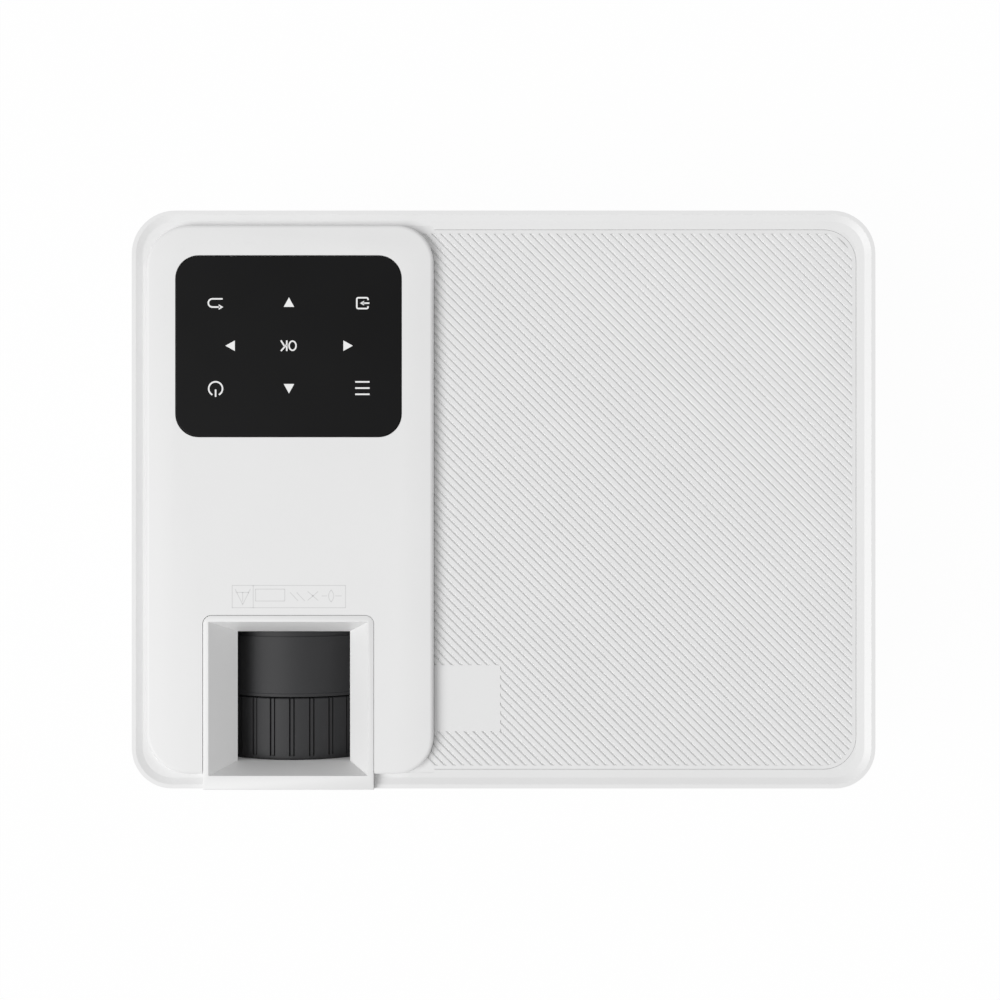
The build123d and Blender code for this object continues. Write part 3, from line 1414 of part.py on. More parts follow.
motor_top = plate_top + spindle_motor_height
rod_z = plate_top + rod_height / 2
screw_z = plate_top + sled_motor_radius + rod_gap
opening_start = spindle_motor_radius + post_radius
with BuildPart() as mechanism_plate:
    with BuildSketch(on_mechanism(plate_bottom)):
        between(mechanism_start, mechanism_end, -mechanism_half_width, mechanism_half_width, mechanism_corner)
        between(wing_start, wing_end, -wing_half_width, 0)
        between(opening_start, rod_end - 2 * rod_block,
                -rod_offset + rod_block, rod_offset - rod_block, rod_radius, mode=Mode.SUBTRACT)
    extrude(amount=mechanism_plate_thickness)
    with BuildSketch(on_mechanism(plate_top)):
        for rod_x in (rod_start + rod_block / 2, rod_end - rod_block / 2):
            with Locations((rod_x, -rod_offset), (rod_x, rod_offset)):
                Rectangle(rod_block, rod_block)
        with Locations((wing_end - rod_block / 2, lead_screw_offset)):
            Rectangle(rod_block, rod_block)
    extrude(amount=rod_height)
    rod_plane = Plane(on_mechanism(rod_z).origin, x_dir=on_mechanism(rod_z).y_dir, z_dir=mechanism_axis)
    with BuildSketch(rod_plane.offset(rod_start - rod_gap)):
        with Locations((-rod_offset, 0), (rod_offset, 0)):
            Circle(rod_radius + rod_gap)
    extrude(amount=rod_end - rod_start + 2 * rod_gap, mode=Mode.SUBTRACT)
    screw_plane = Plane(on_mechanism(screw_z).origin, x_dir=on_mechanism(screw_z).y_dir, z_dir=mechanism_axis)
    with BuildSketch(screw_plane.offset(wing_end - rod_block - rod_gap)):
        with Locations((lead_screw_offset, 0)):
            Circle(lead_screw_radius + rod_gap)
    extrude(amount=rod_block + 2 * rod_gap, mode=Mode.SUBTRACT)
finish(mechanism_plate, "mechanism_plate")

with BuildPart() as guide_rods:
    with BuildSketch(rod_plane.offset(rod_start)):
        with Locations((-rod_offset, 0), (rod_offset, 0)):
            Circle(rod_radius)
    extrude(amount=rod_end - rod_start)
finish(guide_rods, "guide_rods")

with BuildPart() as spindle_motor:
    with BuildSketch(on_mechanism(plate_top)):
        Circle(spindle_motor_radius)
    extrude(amount=spindle_motor_height)
    with BuildSketch(on_mechanism(motor_top)):
        Circle(spindle_shaft_radius)
    extrude(amount=hub_motor_gap + hub_rise)
finish(spindle_motor, "spindle_motor")

hub_bottom = motor_top + hub_motor_gap
hub_seat = well_floor + hub_rise
with BuildPart() as spindle_hub:
    with BuildSketch(on_mechanism(hub_bottom)):
        Circle(hub_core_radius)
    extrude(amount=hub_seat - hub_bottom)
    with BuildSketch(on_mechanism(hub_seat - hub_flange_thickness)):
        Circle(hub_flange_radius)
    extrude(amount=hub_flange_thickness)
    with BuildSketch(on_mechanism(hub_seat)):
        Circle(hub_boss_radius)
        with PolarLocations(hub_boss_radius - hub_ball_radius, hub_ball_count):
            Rectangle(4 * hub_ball_radius, 4 * hub_ball_radius, mode=Mode.SUBTRACT)
    extrude(amount=hub_boss_height)
    with BuildSketch(on_mechanism(hub_bottom)):
        Circle(spindle_shaft_radius + spindle_gap)
    extrude(amount=hub_rise + hub_motor_gap, mode=Mode.SUBTRACT)
    with BuildSketch(on_mechanism(hub_seat)):
        with PolarLocations(hub_boss_radius - hub_ball_radius, hub_ball_count):
            Circle(hub_ball_radius)
    extrude(amount=hub_boss_height / 2)
finish(spindle_hub, "spindle_hub")

with BuildPart() as sled_motor:
    with BuildSketch(screw_plane.offset(wing_start)):
        with Locations((lead_screw_offset, 0)):
            Circle(sled_motor_radius)
    extrude(amount=sled_motor_length)
    with BuildSketch(screw_plane.offset(wing_start + sled_motor_length - lead_screw_pitch)):
        with Locations((lead_screw_offset, 0)):
            Circle(lead_screw_radius + rod_gap)
    extrude(amount=lead_screw_pitch, mode=Mode.SUBTRACT)
finish(sled_motor, "sled_motor")

screw_start = wing_start + sled_motor_length - lead_screw_pitch + sled_gap
with BuildPart() as lead_screw:
    with BuildSketch(screw_plane.offset(screw_start)):
        with Locations((lead_screw_offset, 0)):
            Circle(lead_screw_radius)
    extrude(amount=wing_end - screw_start)
finish(lead_screw, "lead_screw")

sled_bottom = plate_top + sled_gap
sled_top = sled_bottom + sled_height
sled_middle = sled_start
tongue_reach = -lead_screw_offset - lead_screw_radius - sled_gap
with BuildPart() as laser_sled:
    with BuildSketch(on_mechanism(sled_bottom)):
        between(sled_middle - sled_length / 2, sled_middle + sled_length / 2,
                -sled_width / 2, sled_width / 2, rod_radius)
        between(sled_middle - rod_block / 2, sled_middle + rod_block / 2, -tongue_reach, 0)
    extrude(amount=sled_height)
    with BuildSketch(on_mechanism(sled_top)):
        with Locations((sled_middle, 0)):
            Circle(objective_seat_radius)
    extrude(amount=objective_seat_height)
    with BuildSketch(rod_plane.offset(sled_middle - sled_length)):
        with Locations((-rod_offset, 0), (rod_offset, 0)):
            Circle(rod_radius + rod_gap)
    extrude(amount=2 * sled_length, mode=Mode.SUBTRACT)
finish(laser_sled, "laser_sled")

objective_bottom = sled_top + objective_seat_height
with BuildPart() as objective_lens:
    with BuildSketch(on_mechanism(objective_bottom)):
        with Locations((sled_middle, 0)):
            Circle(objective_radius)
    with BuildSketch(on_mechanism(objective_bottom + objective_height)):
        with Locations((sled_middle, 0)):
            Circle(objective_radius / 2)
    loft()
finish(objective_lens, "objective_lens")
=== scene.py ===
import json
import math
import bmesh
import bpy
import numpy as np
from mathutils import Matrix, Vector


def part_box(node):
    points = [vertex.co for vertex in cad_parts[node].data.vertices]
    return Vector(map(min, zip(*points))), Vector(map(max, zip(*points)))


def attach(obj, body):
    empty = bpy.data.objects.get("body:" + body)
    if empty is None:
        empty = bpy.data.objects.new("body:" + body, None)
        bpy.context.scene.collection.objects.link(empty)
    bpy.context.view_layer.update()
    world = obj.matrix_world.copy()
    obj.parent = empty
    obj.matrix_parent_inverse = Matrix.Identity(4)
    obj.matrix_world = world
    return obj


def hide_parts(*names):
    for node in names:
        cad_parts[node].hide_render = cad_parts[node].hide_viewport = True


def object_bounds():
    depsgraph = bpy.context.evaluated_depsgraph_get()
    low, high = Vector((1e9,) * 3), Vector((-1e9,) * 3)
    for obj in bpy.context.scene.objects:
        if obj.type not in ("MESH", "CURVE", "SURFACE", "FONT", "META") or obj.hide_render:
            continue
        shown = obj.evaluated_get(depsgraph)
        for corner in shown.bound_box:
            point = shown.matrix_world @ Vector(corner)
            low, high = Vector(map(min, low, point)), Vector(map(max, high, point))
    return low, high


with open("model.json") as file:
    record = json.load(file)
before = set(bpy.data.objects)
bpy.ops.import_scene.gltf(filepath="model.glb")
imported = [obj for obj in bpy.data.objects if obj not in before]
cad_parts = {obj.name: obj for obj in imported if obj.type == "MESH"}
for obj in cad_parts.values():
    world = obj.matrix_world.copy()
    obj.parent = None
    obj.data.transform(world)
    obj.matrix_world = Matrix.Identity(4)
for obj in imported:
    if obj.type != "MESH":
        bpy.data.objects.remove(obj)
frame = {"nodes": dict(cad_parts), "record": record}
cadLow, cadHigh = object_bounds()
mm = 0.001
record = frame["record"]
bodyOfNode = {node: body for body, nodes in record["behaviour"]["bodies"].items() for node in nodes}
print("frame loaded:", len(frame["nodes"]), "nodes")

# camera: straight down on the top, lens end at the foot of the picture
cameraView = {"x": -1.16 * mm, "y": -0.16 * mm, "height": 652.0 * mm, "lens": 62.8, "sensor": 36.0,
              "nearest": 10.0 * mm, "farthest": 20.0}


def makeCamera(view):
    # looks along -Z, which is where a camera looks before it is turned
    data = bpy.data.cameras.new("topCamera")
    data.lens = view["lens"]
    data.sensor_width = view["sensor"]
    data.clip_start = view["nearest"]
    data.clip_end = view["farthest"]
    camera = bpy.data.objects.new("topCamera", data)
    camera.location = (view["x"], view["y"], view["height"])
    bpy.context.scene.collection.objects.link(camera)
    bpy.context.scene.camera = camera


makeCamera(cameraView)


# materials: every colour, gloss and dent follows noise in the piece's own coordinates
def newMaterial(name):
    # a material with an empty node tree
    material = bpy.data.materials.new(name)
    material.use_nodes = True
    material.node_tree.nodes.clear()
    return material, material.node_tree


def addNode(tree, kind, inputs=None, **settings):
    # one node, with its settings and the values of its free inputs
    node = tree.nodes.new(kind)
    for key, value in settings.items():
        setattr(node, key, value)
    for key, value in (inputs or {}).items():
        node.inputs[key].default_value = value
    return node


def join(tree, source, outSocket, target, inSocket):
    # wire between two named sockets
    tree.links.new(source.outputs[outSocket], target.inputs[inSocket])


def ramp(tree, low, high, lowColor, highColor):
    # colour that goes in a straight line from lowColor at low to highColor at high
    node = addNode(tree, "ShaderNodeValToRGB")
    node.color_ramp.elements[0].position = low
    node.color_ramp.elements[1].position = high
    node.color_ramp.elements[0].color = (*lowColor, 1.0)
    node.color_ramp.elements[1].color = (*highColor, 1.0)
    return node


def grey(value):
    # the same share of red, green and blue
    return (value, value, value)


def shade(color, factor):
    # each channel times the factor
    return tuple(channel * factor for channel in color)


plasticSheet = {"fineDetail": 3.0, "fineRoughness": 0.6, "wide": 38.0, "wideDetail": 4.0, "wideRoughness": 0.55,
                "toneFrom": 0.3, "toneTo": 0.7, "glossier": 0.05, "duller": 0.06, "dent": 0.2 * mm,
                "coatRoughness": 0.08}


def mouldedPlastic(name, color, roughness=0.42, grain=3200.0, bump=0.06, mottle=0.985, specular=0.5, coat=0.0):
    # fine spark texture as bump; wide clouds move the tone between color times mottle and color, and the gloss
    sheet = plasticSheet
    material, tree = newMaterial(name)
    place = addNode(tree, "ShaderNodeTexCoord")
    fine = addNode(tree, "ShaderNodeTexNoise", {"Scale": grain, "Detail": sheet["fineDetail"],
                                                "Roughness": sheet["fineRoughness"]})
    wide = addNode(tree, "ShaderNodeTexNoise", {"Scale": sheet["wide"], "Detail": sheet["wideDetail"],
                                                "Roughness": sheet["wideRoughness"]})
    tone = ramp(tree, sheet["toneFrom"], sheet["toneTo"], shade(color, mottle), color)
    gloss = addNode(tree, "ShaderNodeMapRange", {"To Min": roughness - sheet["glossier"],
                                                 "To Max": roughness + sheet["duller"]})
    dents = addNode(tree, "ShaderNodeBump", {"Strength": bump, "Distance": sheet["dent"]})
    shader = addNode(tree, "ShaderNodeBsdfPrincipled", {"Specular IOR Level": specular, "Coat Weight": coat,
                                                        "Coat Roughness": sheet["coatRoughness"]})
    output = addNode(tree, "ShaderNodeOutputMaterial")
    join(tree, place, "Object", fine, "Vector")
    join(tree, place, "Object", wide, "Vector")
    join(tree, wide, "Fac", tone, "Fac")
    join(tree, wide, "Fac", gloss, "Value")
    join(tree, fine, "Fac", dents, "Height")
    join(tree, tone, "Color", shader, "Base Color")
    join(tree, gloss, "Result", shader, "Roughness")
    join(tree, dents, "Normal", shader, "Normal")
    join(tree, shader, "BSDF", output, "Surface")
    return material


metalSheet = {"brush": 900.0, "detail": 4.0, "toneFrom": 0.3, "toneTo": 0.75, "darkest": 0.82, "glossier": 0.08,
              "duller": 0.14, "bump": 0.12, "dent": 0.1 * mm}


def workedMetal(name, color, roughness, stretch=(1.0, 1.0, 1.0)):
    # one noise sets tone, gloss and dents; its marks run long along the axis whose stretch is smallest
    sheet = metalSheet
    material, tree = newMaterial(name)
    place = addNode(tree, "ShaderNodeTexCoord")
    turn = addNode(tree, "ShaderNodeMapping")
    turn.inputs["Scale"].default_value = stretch
    marks = addNode(tree, "ShaderNodeTexNoise", {"Scale": sheet["brush"], "Detail": sheet["detail"]})
    tone = ramp(tree, sheet["toneFrom"], sheet["toneTo"], shade(color, sheet["darkest"]), color)
    gloss = addNode(tree, "ShaderNodeMapRange", {"To Min": roughness - sheet["glossier"],
                                                 "To Max": roughness + sheet["duller"]})
    dents = addNode(tree, "ShaderNodeBump", {"Strength": sheet["bump"], "Distance": sheet["dent"]})
    shader = addNode(tree, "ShaderNodeBsdfPrincipled", {"Metallic": 1.0})
    output = addNode(tree, "ShaderNodeOutputMaterial")
    join(tree, place, "Object", turn, "Vector")
    join(tree, turn, "Vector", marks, "Vector")
    join(tree, marks, "Fac", tone, "Fac")
    join(tree, marks, "Fac", gloss, "Value")
    join(tree, marks, "Fac", dents, "Height")
    join(tree, tone, "Color", shader, "Base Color")
    join(tree, gloss, "Result", shader, "Roughness")
    join(tree, dents, "Normal", shader, "Normal")
    join(tree, shader, "BSDF", output, "Surface")
    return material


glassFinish = {"cloud": 60.0, "detail": 2.0, "roughness": 0.02, "duller": 0.03, "toneFrom": 0.35,
               "toneTo": 0.65, "darkest": 0.97, "transmission": 0.92, "index": 1.5, "coat": 0.4,
               "coatRoughness": 0.03, "coatTint": (0.62, 0.5, 1.0, 1.0)}


def clearGlass(name, color):
    # coated optical glass: one cloud sets a trace of tone and the unevenness of the gloss
    sheet = glassFinish
    material, tree = newMaterial(name)
    place = addNode(tree, "ShaderNodeTexCoord")
    cloud = addNode(tree, "ShaderNodeTexNoise", {"Scale": sheet["cloud"], "Detail": sheet["detail"]})
    gloss = addNode(tree, "ShaderNodeMapRange", {"To Min": sheet["roughness"],
                                                 "To Max": sheet["roughness"] + sheet["duller"]})
    tone = ramp(tree, sheet["toneFrom"], sheet["toneTo"], shade(color, sheet["darkest"]), color)
    shader = addNode(tree, "ShaderNodeBsdfPrincipled",
                     {"Transmission Weight": sheet["transmission"], "IOR": sheet["index"],
                      "Coat Weight": sheet["coat"], "Coat Roughness": sheet["coatRoughness"],
                      "Coat Tint": sheet["coatTint"]})
    output = addNode(tree, "ShaderNodeOutputMaterial")
    join(tree, place, "Object", cloud, "Vector")
    join(tree, cloud, "Fac", gloss, "Value")
    join(tree, cloud, "Fac", tone, "Fac")
    join(tree, tone, "Color", shader, "Base Color")
    join(tree, gloss, "Result", shader, "Roughness")
    join(tree, shader, "BSDF", output, "Surface")
    return material


finishes = {
    "white_case": mouldedPlastic("caseWhite", grey(0.80)),
    "white_panel": mouldedPlastic("panelWhite", grey(0.785), bump=0.04),
    "touch_black": mouldedPlastic("touchBlack", (0.001, 0.001, 0.0012), roughness=0.33, grain=900.0, bump=0.01,
                                  mottle=0.9, specular=0.115),
    "barrel_grey": mouldedPlastic("barrelGrey", (0.033, 0.033, 0.0345), roughness=0.5, grain=2600.0, bump=0.05,
                                  mottle=0.9, specular=0.2),
    "black_plastic": mouldedPlastic("innerBlack", grey(0.025), roughness=0.5, grain=2200.0, bump=0.09,
                                    mottle=0.85),
    "smoked_window": mouldedPlastic("smokedWindow", (0.02, 0.006, 0.01), roughness=0.12, grain=700.0, bump=0.01,
                                    mottle=0.9, coat=0.5),
    "foot_rubber": mouldedPlastic("footRubber", grey(0.035), roughness=0.75, grain=1800.0, bump=0.14,
                                  mottle=0.8, specular=0.3),
    "zinc_steel": workedMetal("zincSteel", (0.66, 0.66, 0.68), roughness=0.3),
    "insert_brass": workedMetal("insertBrass", (0.78, 0.58, 0.28), roughness=0.28),
    "board_green": mouldedPlastic("boardGreen", (0.015, 0.11, 0.045), roughness=0.35, grain=800.0, bump=0.08,
                                  mottle=0.7),
    "fin_aluminium": workedMetal("finAluminium", (0.76, 0.77, 0.79), roughness=0.34, stretch=(1.0, 1.0, 0.05)),
    "drive_steel": workedMetal("driveSteel", (0.62, 0.63, 0.65), roughness=0.36, stretch=(0.08, 1.0, 1.0)),
    "optic_glass": clearGlass("opticGlass", (0.93, 0.96, 0.98)),
    "panel_glass": mouldedPlastic("panelCell", (0.03, 0.03, 0.045), roughness=0.15, grain=500.0, bump=0.01,
                                  mottle=0.8, coat=0.5),
    "tray_plastic": mouldedPlastic("trayPlastic", (0.05, 0.05, 0.052), roughness=0.4, grain=2400.0,
                                   mottle=0.88),
    "speaker_cone": mouldedPlastic("speakerCone", (0.04, 0.038, 0.036), roughness=0.7, grain=1500.0, bump=0.16,
                                   mottle=0.75, specular=0.3),
    "led_ceramic": mouldedPlastic("ledCeramic", (0.8, 0.72, 0.42), roughness=0.4, grain=1200.0, bump=0.05,
                                  mottle=0.9),
    "power_board": mouldedPlastic("powerBoard", (0.32, 0.22, 0.09), roughness=0.45, grain=700.0, bump=0.1,
                                  mottle=0.7),
}
slotOfNode = {part["node"]: part["material_slot"] for part in record["subparts"]}
for nodeName, nodeObject in frame["nodes"].items():
    nodeObject.data.materials.clear()
    nodeObject.data.materials.append(finishes[slotOfNode[nodeName]])
print("finishes laid on:", len(finishes))


# meshes: surfaces over a grid of points, worked out as whole arrays
def gridMesh(name, points, closeAcross=False, closeAlong=False, capStart=False, capEnd=False):
    # mesh over a grid of points (along, across, 3); caps close the first and last row with one face
    rows, columns = points.shape[:2]
    index = np.arange(rows * columns).reshape(rows, columns)
    along = np.vstack([index, index[:1]]) if closeAlong else index
    grid = np.hstack([along, along[:, :1]]) if closeAcross else along
    quads = np.stack([grid[:-1, :-1], grid[:-1, 1:], grid[1:, 1:], grid[1:, :-1]], axis=-1).reshape(-1, 4)
    faces = quads.tolist()
    if capStart:
        faces.append(index[0][::-1].tolist())
    if capEnd:
        faces.append(index[-1].tolist())
    mesh = bpy.data.meshes.new(name)
    mesh.from_pydata(points.reshape(-1, 3).tolist(), [], faces)
    mesh.update()
    return mesh


def placePiece(name, mesh, finish, body, replaced=(), smooth=True):
    # puts the mesh in the scene, on its body; a finish given by name also fills the slot of that name
    piece = bpy.data.objects.new(name, mesh)
    bpy.context.scene.collection.objects.link(piece)
    mesh.materials.append(finishes[finish] if isinstance(finish, str) else finish)
    if smooth:
        mesh.polygons.foreach_set("use_smooth", np.ones(len(mesh.polygons), dtype=bool))
    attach(piece, body)
    if replaced:
        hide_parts(*replaced)


def roundedOutline(width, depth, radius, steps=12):
    # closed outline of a rounded rectangle about the origin: each corner is a quarter circle, anticlockwise
    angle = np.linspace(0.0, math.pi / 2, steps)
    corners = []
    for turn, (sx, sy) in enumerate(((1, 1), (-1, 1), (-1, -1), (1, -1))):
        sweep = angle + turn * math.pi / 2
        corners.append(np.stack([sx * (width / 2 - radius) + radius * np.cos(sweep),
                                 sy * (depth / 2 - radius) + radius * np.sin(sweep)], axis=-1))
    return np.vstack(corners)


def slab(name, size, profile, center):
    # rounded slab: the outline drawn in by each profile step's inset, at that step's height
    width, depth, radius = size
    rings = []
    for inset, height in profile:
        outline = roundedOutline(width - 2 * inset, depth - 2 * inset, radius - inset)
        rings.append(np.column_stack([outline + center, np.full(len(outline), height)]))
    return gridMesh(name, np.array(rings), closeAcross=True, capStart=True, capEnd=True)


# touch glass and its symbols
glassLow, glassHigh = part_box("touch_glass")
glassSheet = {"sink": 0.05 * mm, "edge": 0.35 * mm, "radius": 7.4 * mm, "steps": 6}
glassCenter = np.array([(glassLow.x + glassHigh.x) / 2, (glassLow.y + glassHigh.y) / 2])
glassTop = glassHigh.z - glassSheet["sink"]
edgeAngle = np.linspace(0.0, math.pi / 2, glassSheet["steps"])
glassProfile = [(0.0, glassLow.z)] + [  # (inset, height) steps: a straight side, then a quarter circle
    (glassSheet["edge"] * (1 - math.cos(a)), glassTop - glassSheet["edge"] * (1 - math.sin(a)))
    for a in edgeAngle]
glassMesh = slab("touchGlass", (glassHigh.x - glassLow.x, glassHigh.y - glassLow.y, glassSheet["radius"]),
                 glassProfile, glassCenter)
placePiece("touchGlass", glassMesh, "touch_black", bodyOfNode["touch_glass"], ("touch_glass",), smooth=False)

picture = {"middle": 500.0, "pixel": 0.3208 * mm}
# symbols are measured in pixels of the picture, right and down from the middle of their own key
symbolSheet = {
    "rise": 0.03 * mm, "stroke": 0.5 * mm,
    "columns": (215.4, 288.8, 362.3), "rows": (302.0, 345.6, 388.6),
    "arrow": (9.5, 10.5), "arrowLeft": 229.9, "arrowRight": 348.0,
    "backBend": (-3.2, 0.8), "backRadius": 4.1, "backTop": (7.0, -3.3), "backFoot": (4.5, 4.9),
    "backTip": (5.4, 4.9), "backHead": (4.6, 5.4),
    "inputBox": ((5.6, -2.0), (5.6, -4.4), (-5.6, -4.4), (-5.6, 6.4), (5.6, 6.4), (5.6, 4.0)),
    "inputCorner": 1.6, "inputShaft": ((7.0, 1.0), (0.4, 1.0)), "inputTip": (-0.4, 1.0),
    "inputHead": (4.0, 4.8),
    "powerRadius": 6.9, "powerRing": (-62, 242, 48), "powerStroke": ((0.0, 8.2), (0.0, 0.8)),
    "menuReach": 7.2, "menuRows": (-6.8, -0.6, 5.6),
    "letterO": (3.6, 0.0), "letterOuter": (4.2, 5.3), "letterInner": (2.75, 3.85), "letterSteps": 40,
    "letterK": (((-2.2, -5.3), (-2.2, 5.3)), ((-8.0, 5.3), (-2.6, -0.9)), ((-4.4, 0.6), (-8.0, -5.3))),
}


def pixelToPlace(x, y):
    # place on the deck of a pixel: its distance from the picture's middle times a pixel's size, Y turned over
    return np.array([(x - picture["middle"]) * picture["pixel"] + cameraView["x"],
                     (picture["middle"] - y) * picture["pixel"] + cameraView["y"]])


def flatPrism(name, outlines, low, high):
    # upright prisms over closed outlines, each given anticlockwise
    points, faces = [], []
    for outline in outlines:
        count, start = len(outline), len(points)
        points += [(x, y, low) for x, y in outline] + [(x, y, high) for x, y in outline]
        faces.append([start + i for i in range(count)][::-1])
        faces.append([start + count + i for i in range(count)])
        for i in range(count):
            j = (i + 1) % count
            faces.append([start + i, start + j, start + count + j, start + count + i])
    mesh = bpy.data.meshes.new(name)
    mesh.from_pydata(points, [], faces)
    mesh.update()
    return mesh


def strokeOutline(path, width):
    # outline of an open line of even width: the path offset to both sides along its normals
    path = np.asarray(path, dtype=float)
    run = np.gradient(path, axis=0)
    run /= np.linalg.norm(run, axis=1, keepdims=True)
    normal = np.column_stack([-run[:, 1], run[:, 0]]) * width / 2
    return np.vstack([path - normal, (path + normal)[::-1]])


def arcPoints(center, radius, start, end, steps=28):
    # center plus radius times (cos, sin) of an angle in degrees that runs evenly from start to end
    angle = np.radians(np.linspace(start, end, steps))
    return np.column_stack([center[0] + radius * np.cos(angle), center[1] + radius * np.sin(angle)])


def bentStroke(points, width, radius, steps=6):
    # line through points; each inner corner becomes a quadratic curve that starts a radius ahead of it
    points = [np.asarray(p, dtype=float) for p in points]
    path = [points[0]]
    for before, corner, after in zip(points, points[1:], points[2:]):
        into, out = before - corner, after - corner
        start = corner + into / np.linalg.norm(into) * radius
        end = corner + out / np.linalg.norm(out) * radius
        for t in np.linspace(0.0, 1.0, steps):
            path.append((1 - t) ** 2 * start + 2 * t * (1 - t) * corner + t ** 2 * end)
    path.append(points[-1])
    return strokeOutline(np.array(path), width)


def triangle(center, direction, length, width):
    # triangle about a center: its tip half a length ahead, its two feet half a length behind, a width apart
    direction = np.asarray(direction, dtype=float)
    side = np.array([-direction[1], direction[0]])
    tip = center + direction * length / 2
    tail = center - direction * length / 2
    return np.array([tip, tail + side * width / 2, tail - side * width / 2])


def makeSymbols(sheet):
    # every symbol is a set of flat outlines, all raised by the same height
    unit, stroke, columns, rows = picture["pixel"], sheet["stroke"], sheet["columns"], sheet["rows"]
    outlines = []

    def place(column, row, offset=(0.0, 0.0)):
        return pixelToPlace(columns[column] + offset[0], rows[row] + offset[1])

    def addStroke(column, row, offsets):
        outlines.append(strokeOutline([place(column, row, offset) for offset in offsets], stroke))

    def addHead(tip, direction, size):
        outlines.append(triangle(tip, direction, size[0] * unit, size[1] * unit))

    # arrows of the cross
    addHead(place(1, 0), (0, 1), sheet["arrow"])
    addHead(place(1, 2), (0, -1), sheet["arrow"])
    addHead(pixelToPlace(sheet["arrowLeft"], rows[1]), (-1, 0), sheet["arrow"])
    addHead(pixelToPlace(sheet["arrowRight"], rows[1]), (1, 0), sheet["arrow"])
    # back: a U lying open to the right, with its head on the lower leg
    bend = arcPoints(place(0, 0, sheet["backBend"]), sheet["backRadius"] * unit, 90, 270)
    back = np.vstack([[place(0, 0, sheet["backTop"])], bend, [place(0, 0, sheet["backFoot"])]])
    outlines.append(strokeOutline(back, stroke))
    addHead(place(0, 0, sheet["backTip"]), (1, 0), sheet["backHead"])
    # input: a box open to the right with an arrow going in
    box = [place(2, 0, offset) for offset in sheet["inputBox"]]
    outlines.append(bentStroke(box, stroke, sheet["inputCorner"] * unit))
    addStroke(2, 0, sheet["inputShaft"])
    addHead(place(2, 0, sheet["inputTip"]), (-1, 0), sheet["inputHead"])
    # power: a ring open at the bottom with a stroke in the gap
    ring = arcPoints(place(0, 2), sheet["powerRadius"] * unit, *sheet["powerRing"])
    outlines.append(strokeOutline(ring, stroke))
    addStroke(0, 2, sheet["powerStroke"])
    # menu: three bars
    for drop in sheet["menuRows"]:
        addStroke(2, 2, ((-sheet["menuReach"], drop), (sheet["menuReach"], drop)))
    # OK, upside down in the picture: O on the right, in four quarters, K on the left
    steps = sheet["letterSteps"]
    oval = arcPoints((0.0, 0.0), 1.0, 0, 360, steps)
    outer, inner = (place(1, 1, sheet["letterO"]) + oval * np.array(sheet[size]) * unit
                    for size in ("letterOuter", "letterInner"))
    for first in range(0, steps, steps // 4):
        span = slice(first, min(first + steps // 4 + 1, steps))
        outlines.append(np.vstack([outer[span], inner[span][::-1]]))
    for offsets in sheet["letterK"]:
        addStroke(1, 1, offsets)
    return flatPrism("touchSymbols", outlines, glassTop, glassTop + sheet["rise"])


finishes["symbolWhite"] = mouldedPlastic("symbolWhite", grey(0.86), roughness=0.5, grain=1500.0, bump=0.01)
placePiece("touchSymbols", makeSymbols(symbolSheet), finishes["symbolWhite"], bodyOfNode["touch_glass"],
           smooth=False)
print("touch glass and symbols made")

# legend strip beside the focus window: fine raised lines
legendSheet = {
    "rise": 0.008 * mm, "line": 0.26 * mm,
    "outer": (232.0, 585.5, 345.4, 607.8), "divider": ((253.0, 585.5), (253.0, 607.8)),
    "plate": (255.3, 589.2, 284.6, 601.1),
    "funnel": (((234.8, 589.0), (242.5, 604.5)), ((250.2, 589.0), (242.5, 604.5)),
               ((236.5, 592.5), (248.5, 592.5)), ((242.5, 592.5), (242.5, 601.5))),
    "slants": (((290.0, 592.5), (298.0, 601.0)), ((296.5, 592.5), (304.5, 601.0))),
    "cross": (((307.5, 591.5), (318.0, 600.5)), ((318.0, 591.5), (307.5, 600.5))),
    "lens": (331.0, 596.0), "lensBulge": 2.6, "lensHalf": 6.0, "lensSteps": 13,
    "stops": (((321.5, 596.0), (327.0, 596.0)), ((335.0, 596.0), (341.5, 596.0))),
}


def frameLines(left, top, right, bottom, line):
    # the four sides of a box given in picture pixels, each as a stroke
    corners = [pixelToPlace(left, top), pixelToPlace(right, top), pixelToPlace(right, bottom),
               pixelToPlace(left, bottom)]
    return [strokeOutline([corners[i], corners[(i + 1) % 4]], line) for i in range(4)]


def makeLegend(sheet):
    # a frame and a plate, each of four strokes, with small line drawings beside them
    line = sheet["line"]

    def lines(pairs):
        return [strokeOutline([pixelToPlace(*start), pixelToPlace(*end)], line) for start, end in pairs]

    strokes = frameLines(*sheet["outer"], line) + lines([sheet["divider"]]) + frameLines(*sheet["plate"], line)
    strokes += lines(sheet["funnel"]) + lines(sheet["slants"]) + lines(sheet["cross"])
    # a lens of two parabolas between its end stops
    lensX, lensY = sheet["lens"]
    share = np.linspace(-1.0, 1.0, sheet["lensSteps"])
    for side in (-1, 1):
        curve = [pixelToPlace(lensX + side * sheet["lensBulge"] * (1 - t * t), lensY + sheet["lensHalf"] * t)
                 for t in share]
        strokes.append(strokeOutline(curve, line))
    strokes += lines(sheet["stops"])
    return flatPrism("focusLegend", strokes, cadHigh[2] - sheet["rise"], cadHigh[2] + sheet["rise"])


finishes["legendGrey"] = mouldedPlastic("legendGrey", grey(0.66), roughness=0.5, bump=0.03)
placePiece("focusLegend", makeLegend(legendSheet), finishes["legendGrey"], bodyOfNode["control_deck"],
           smooth=False)
print("legend strip made")


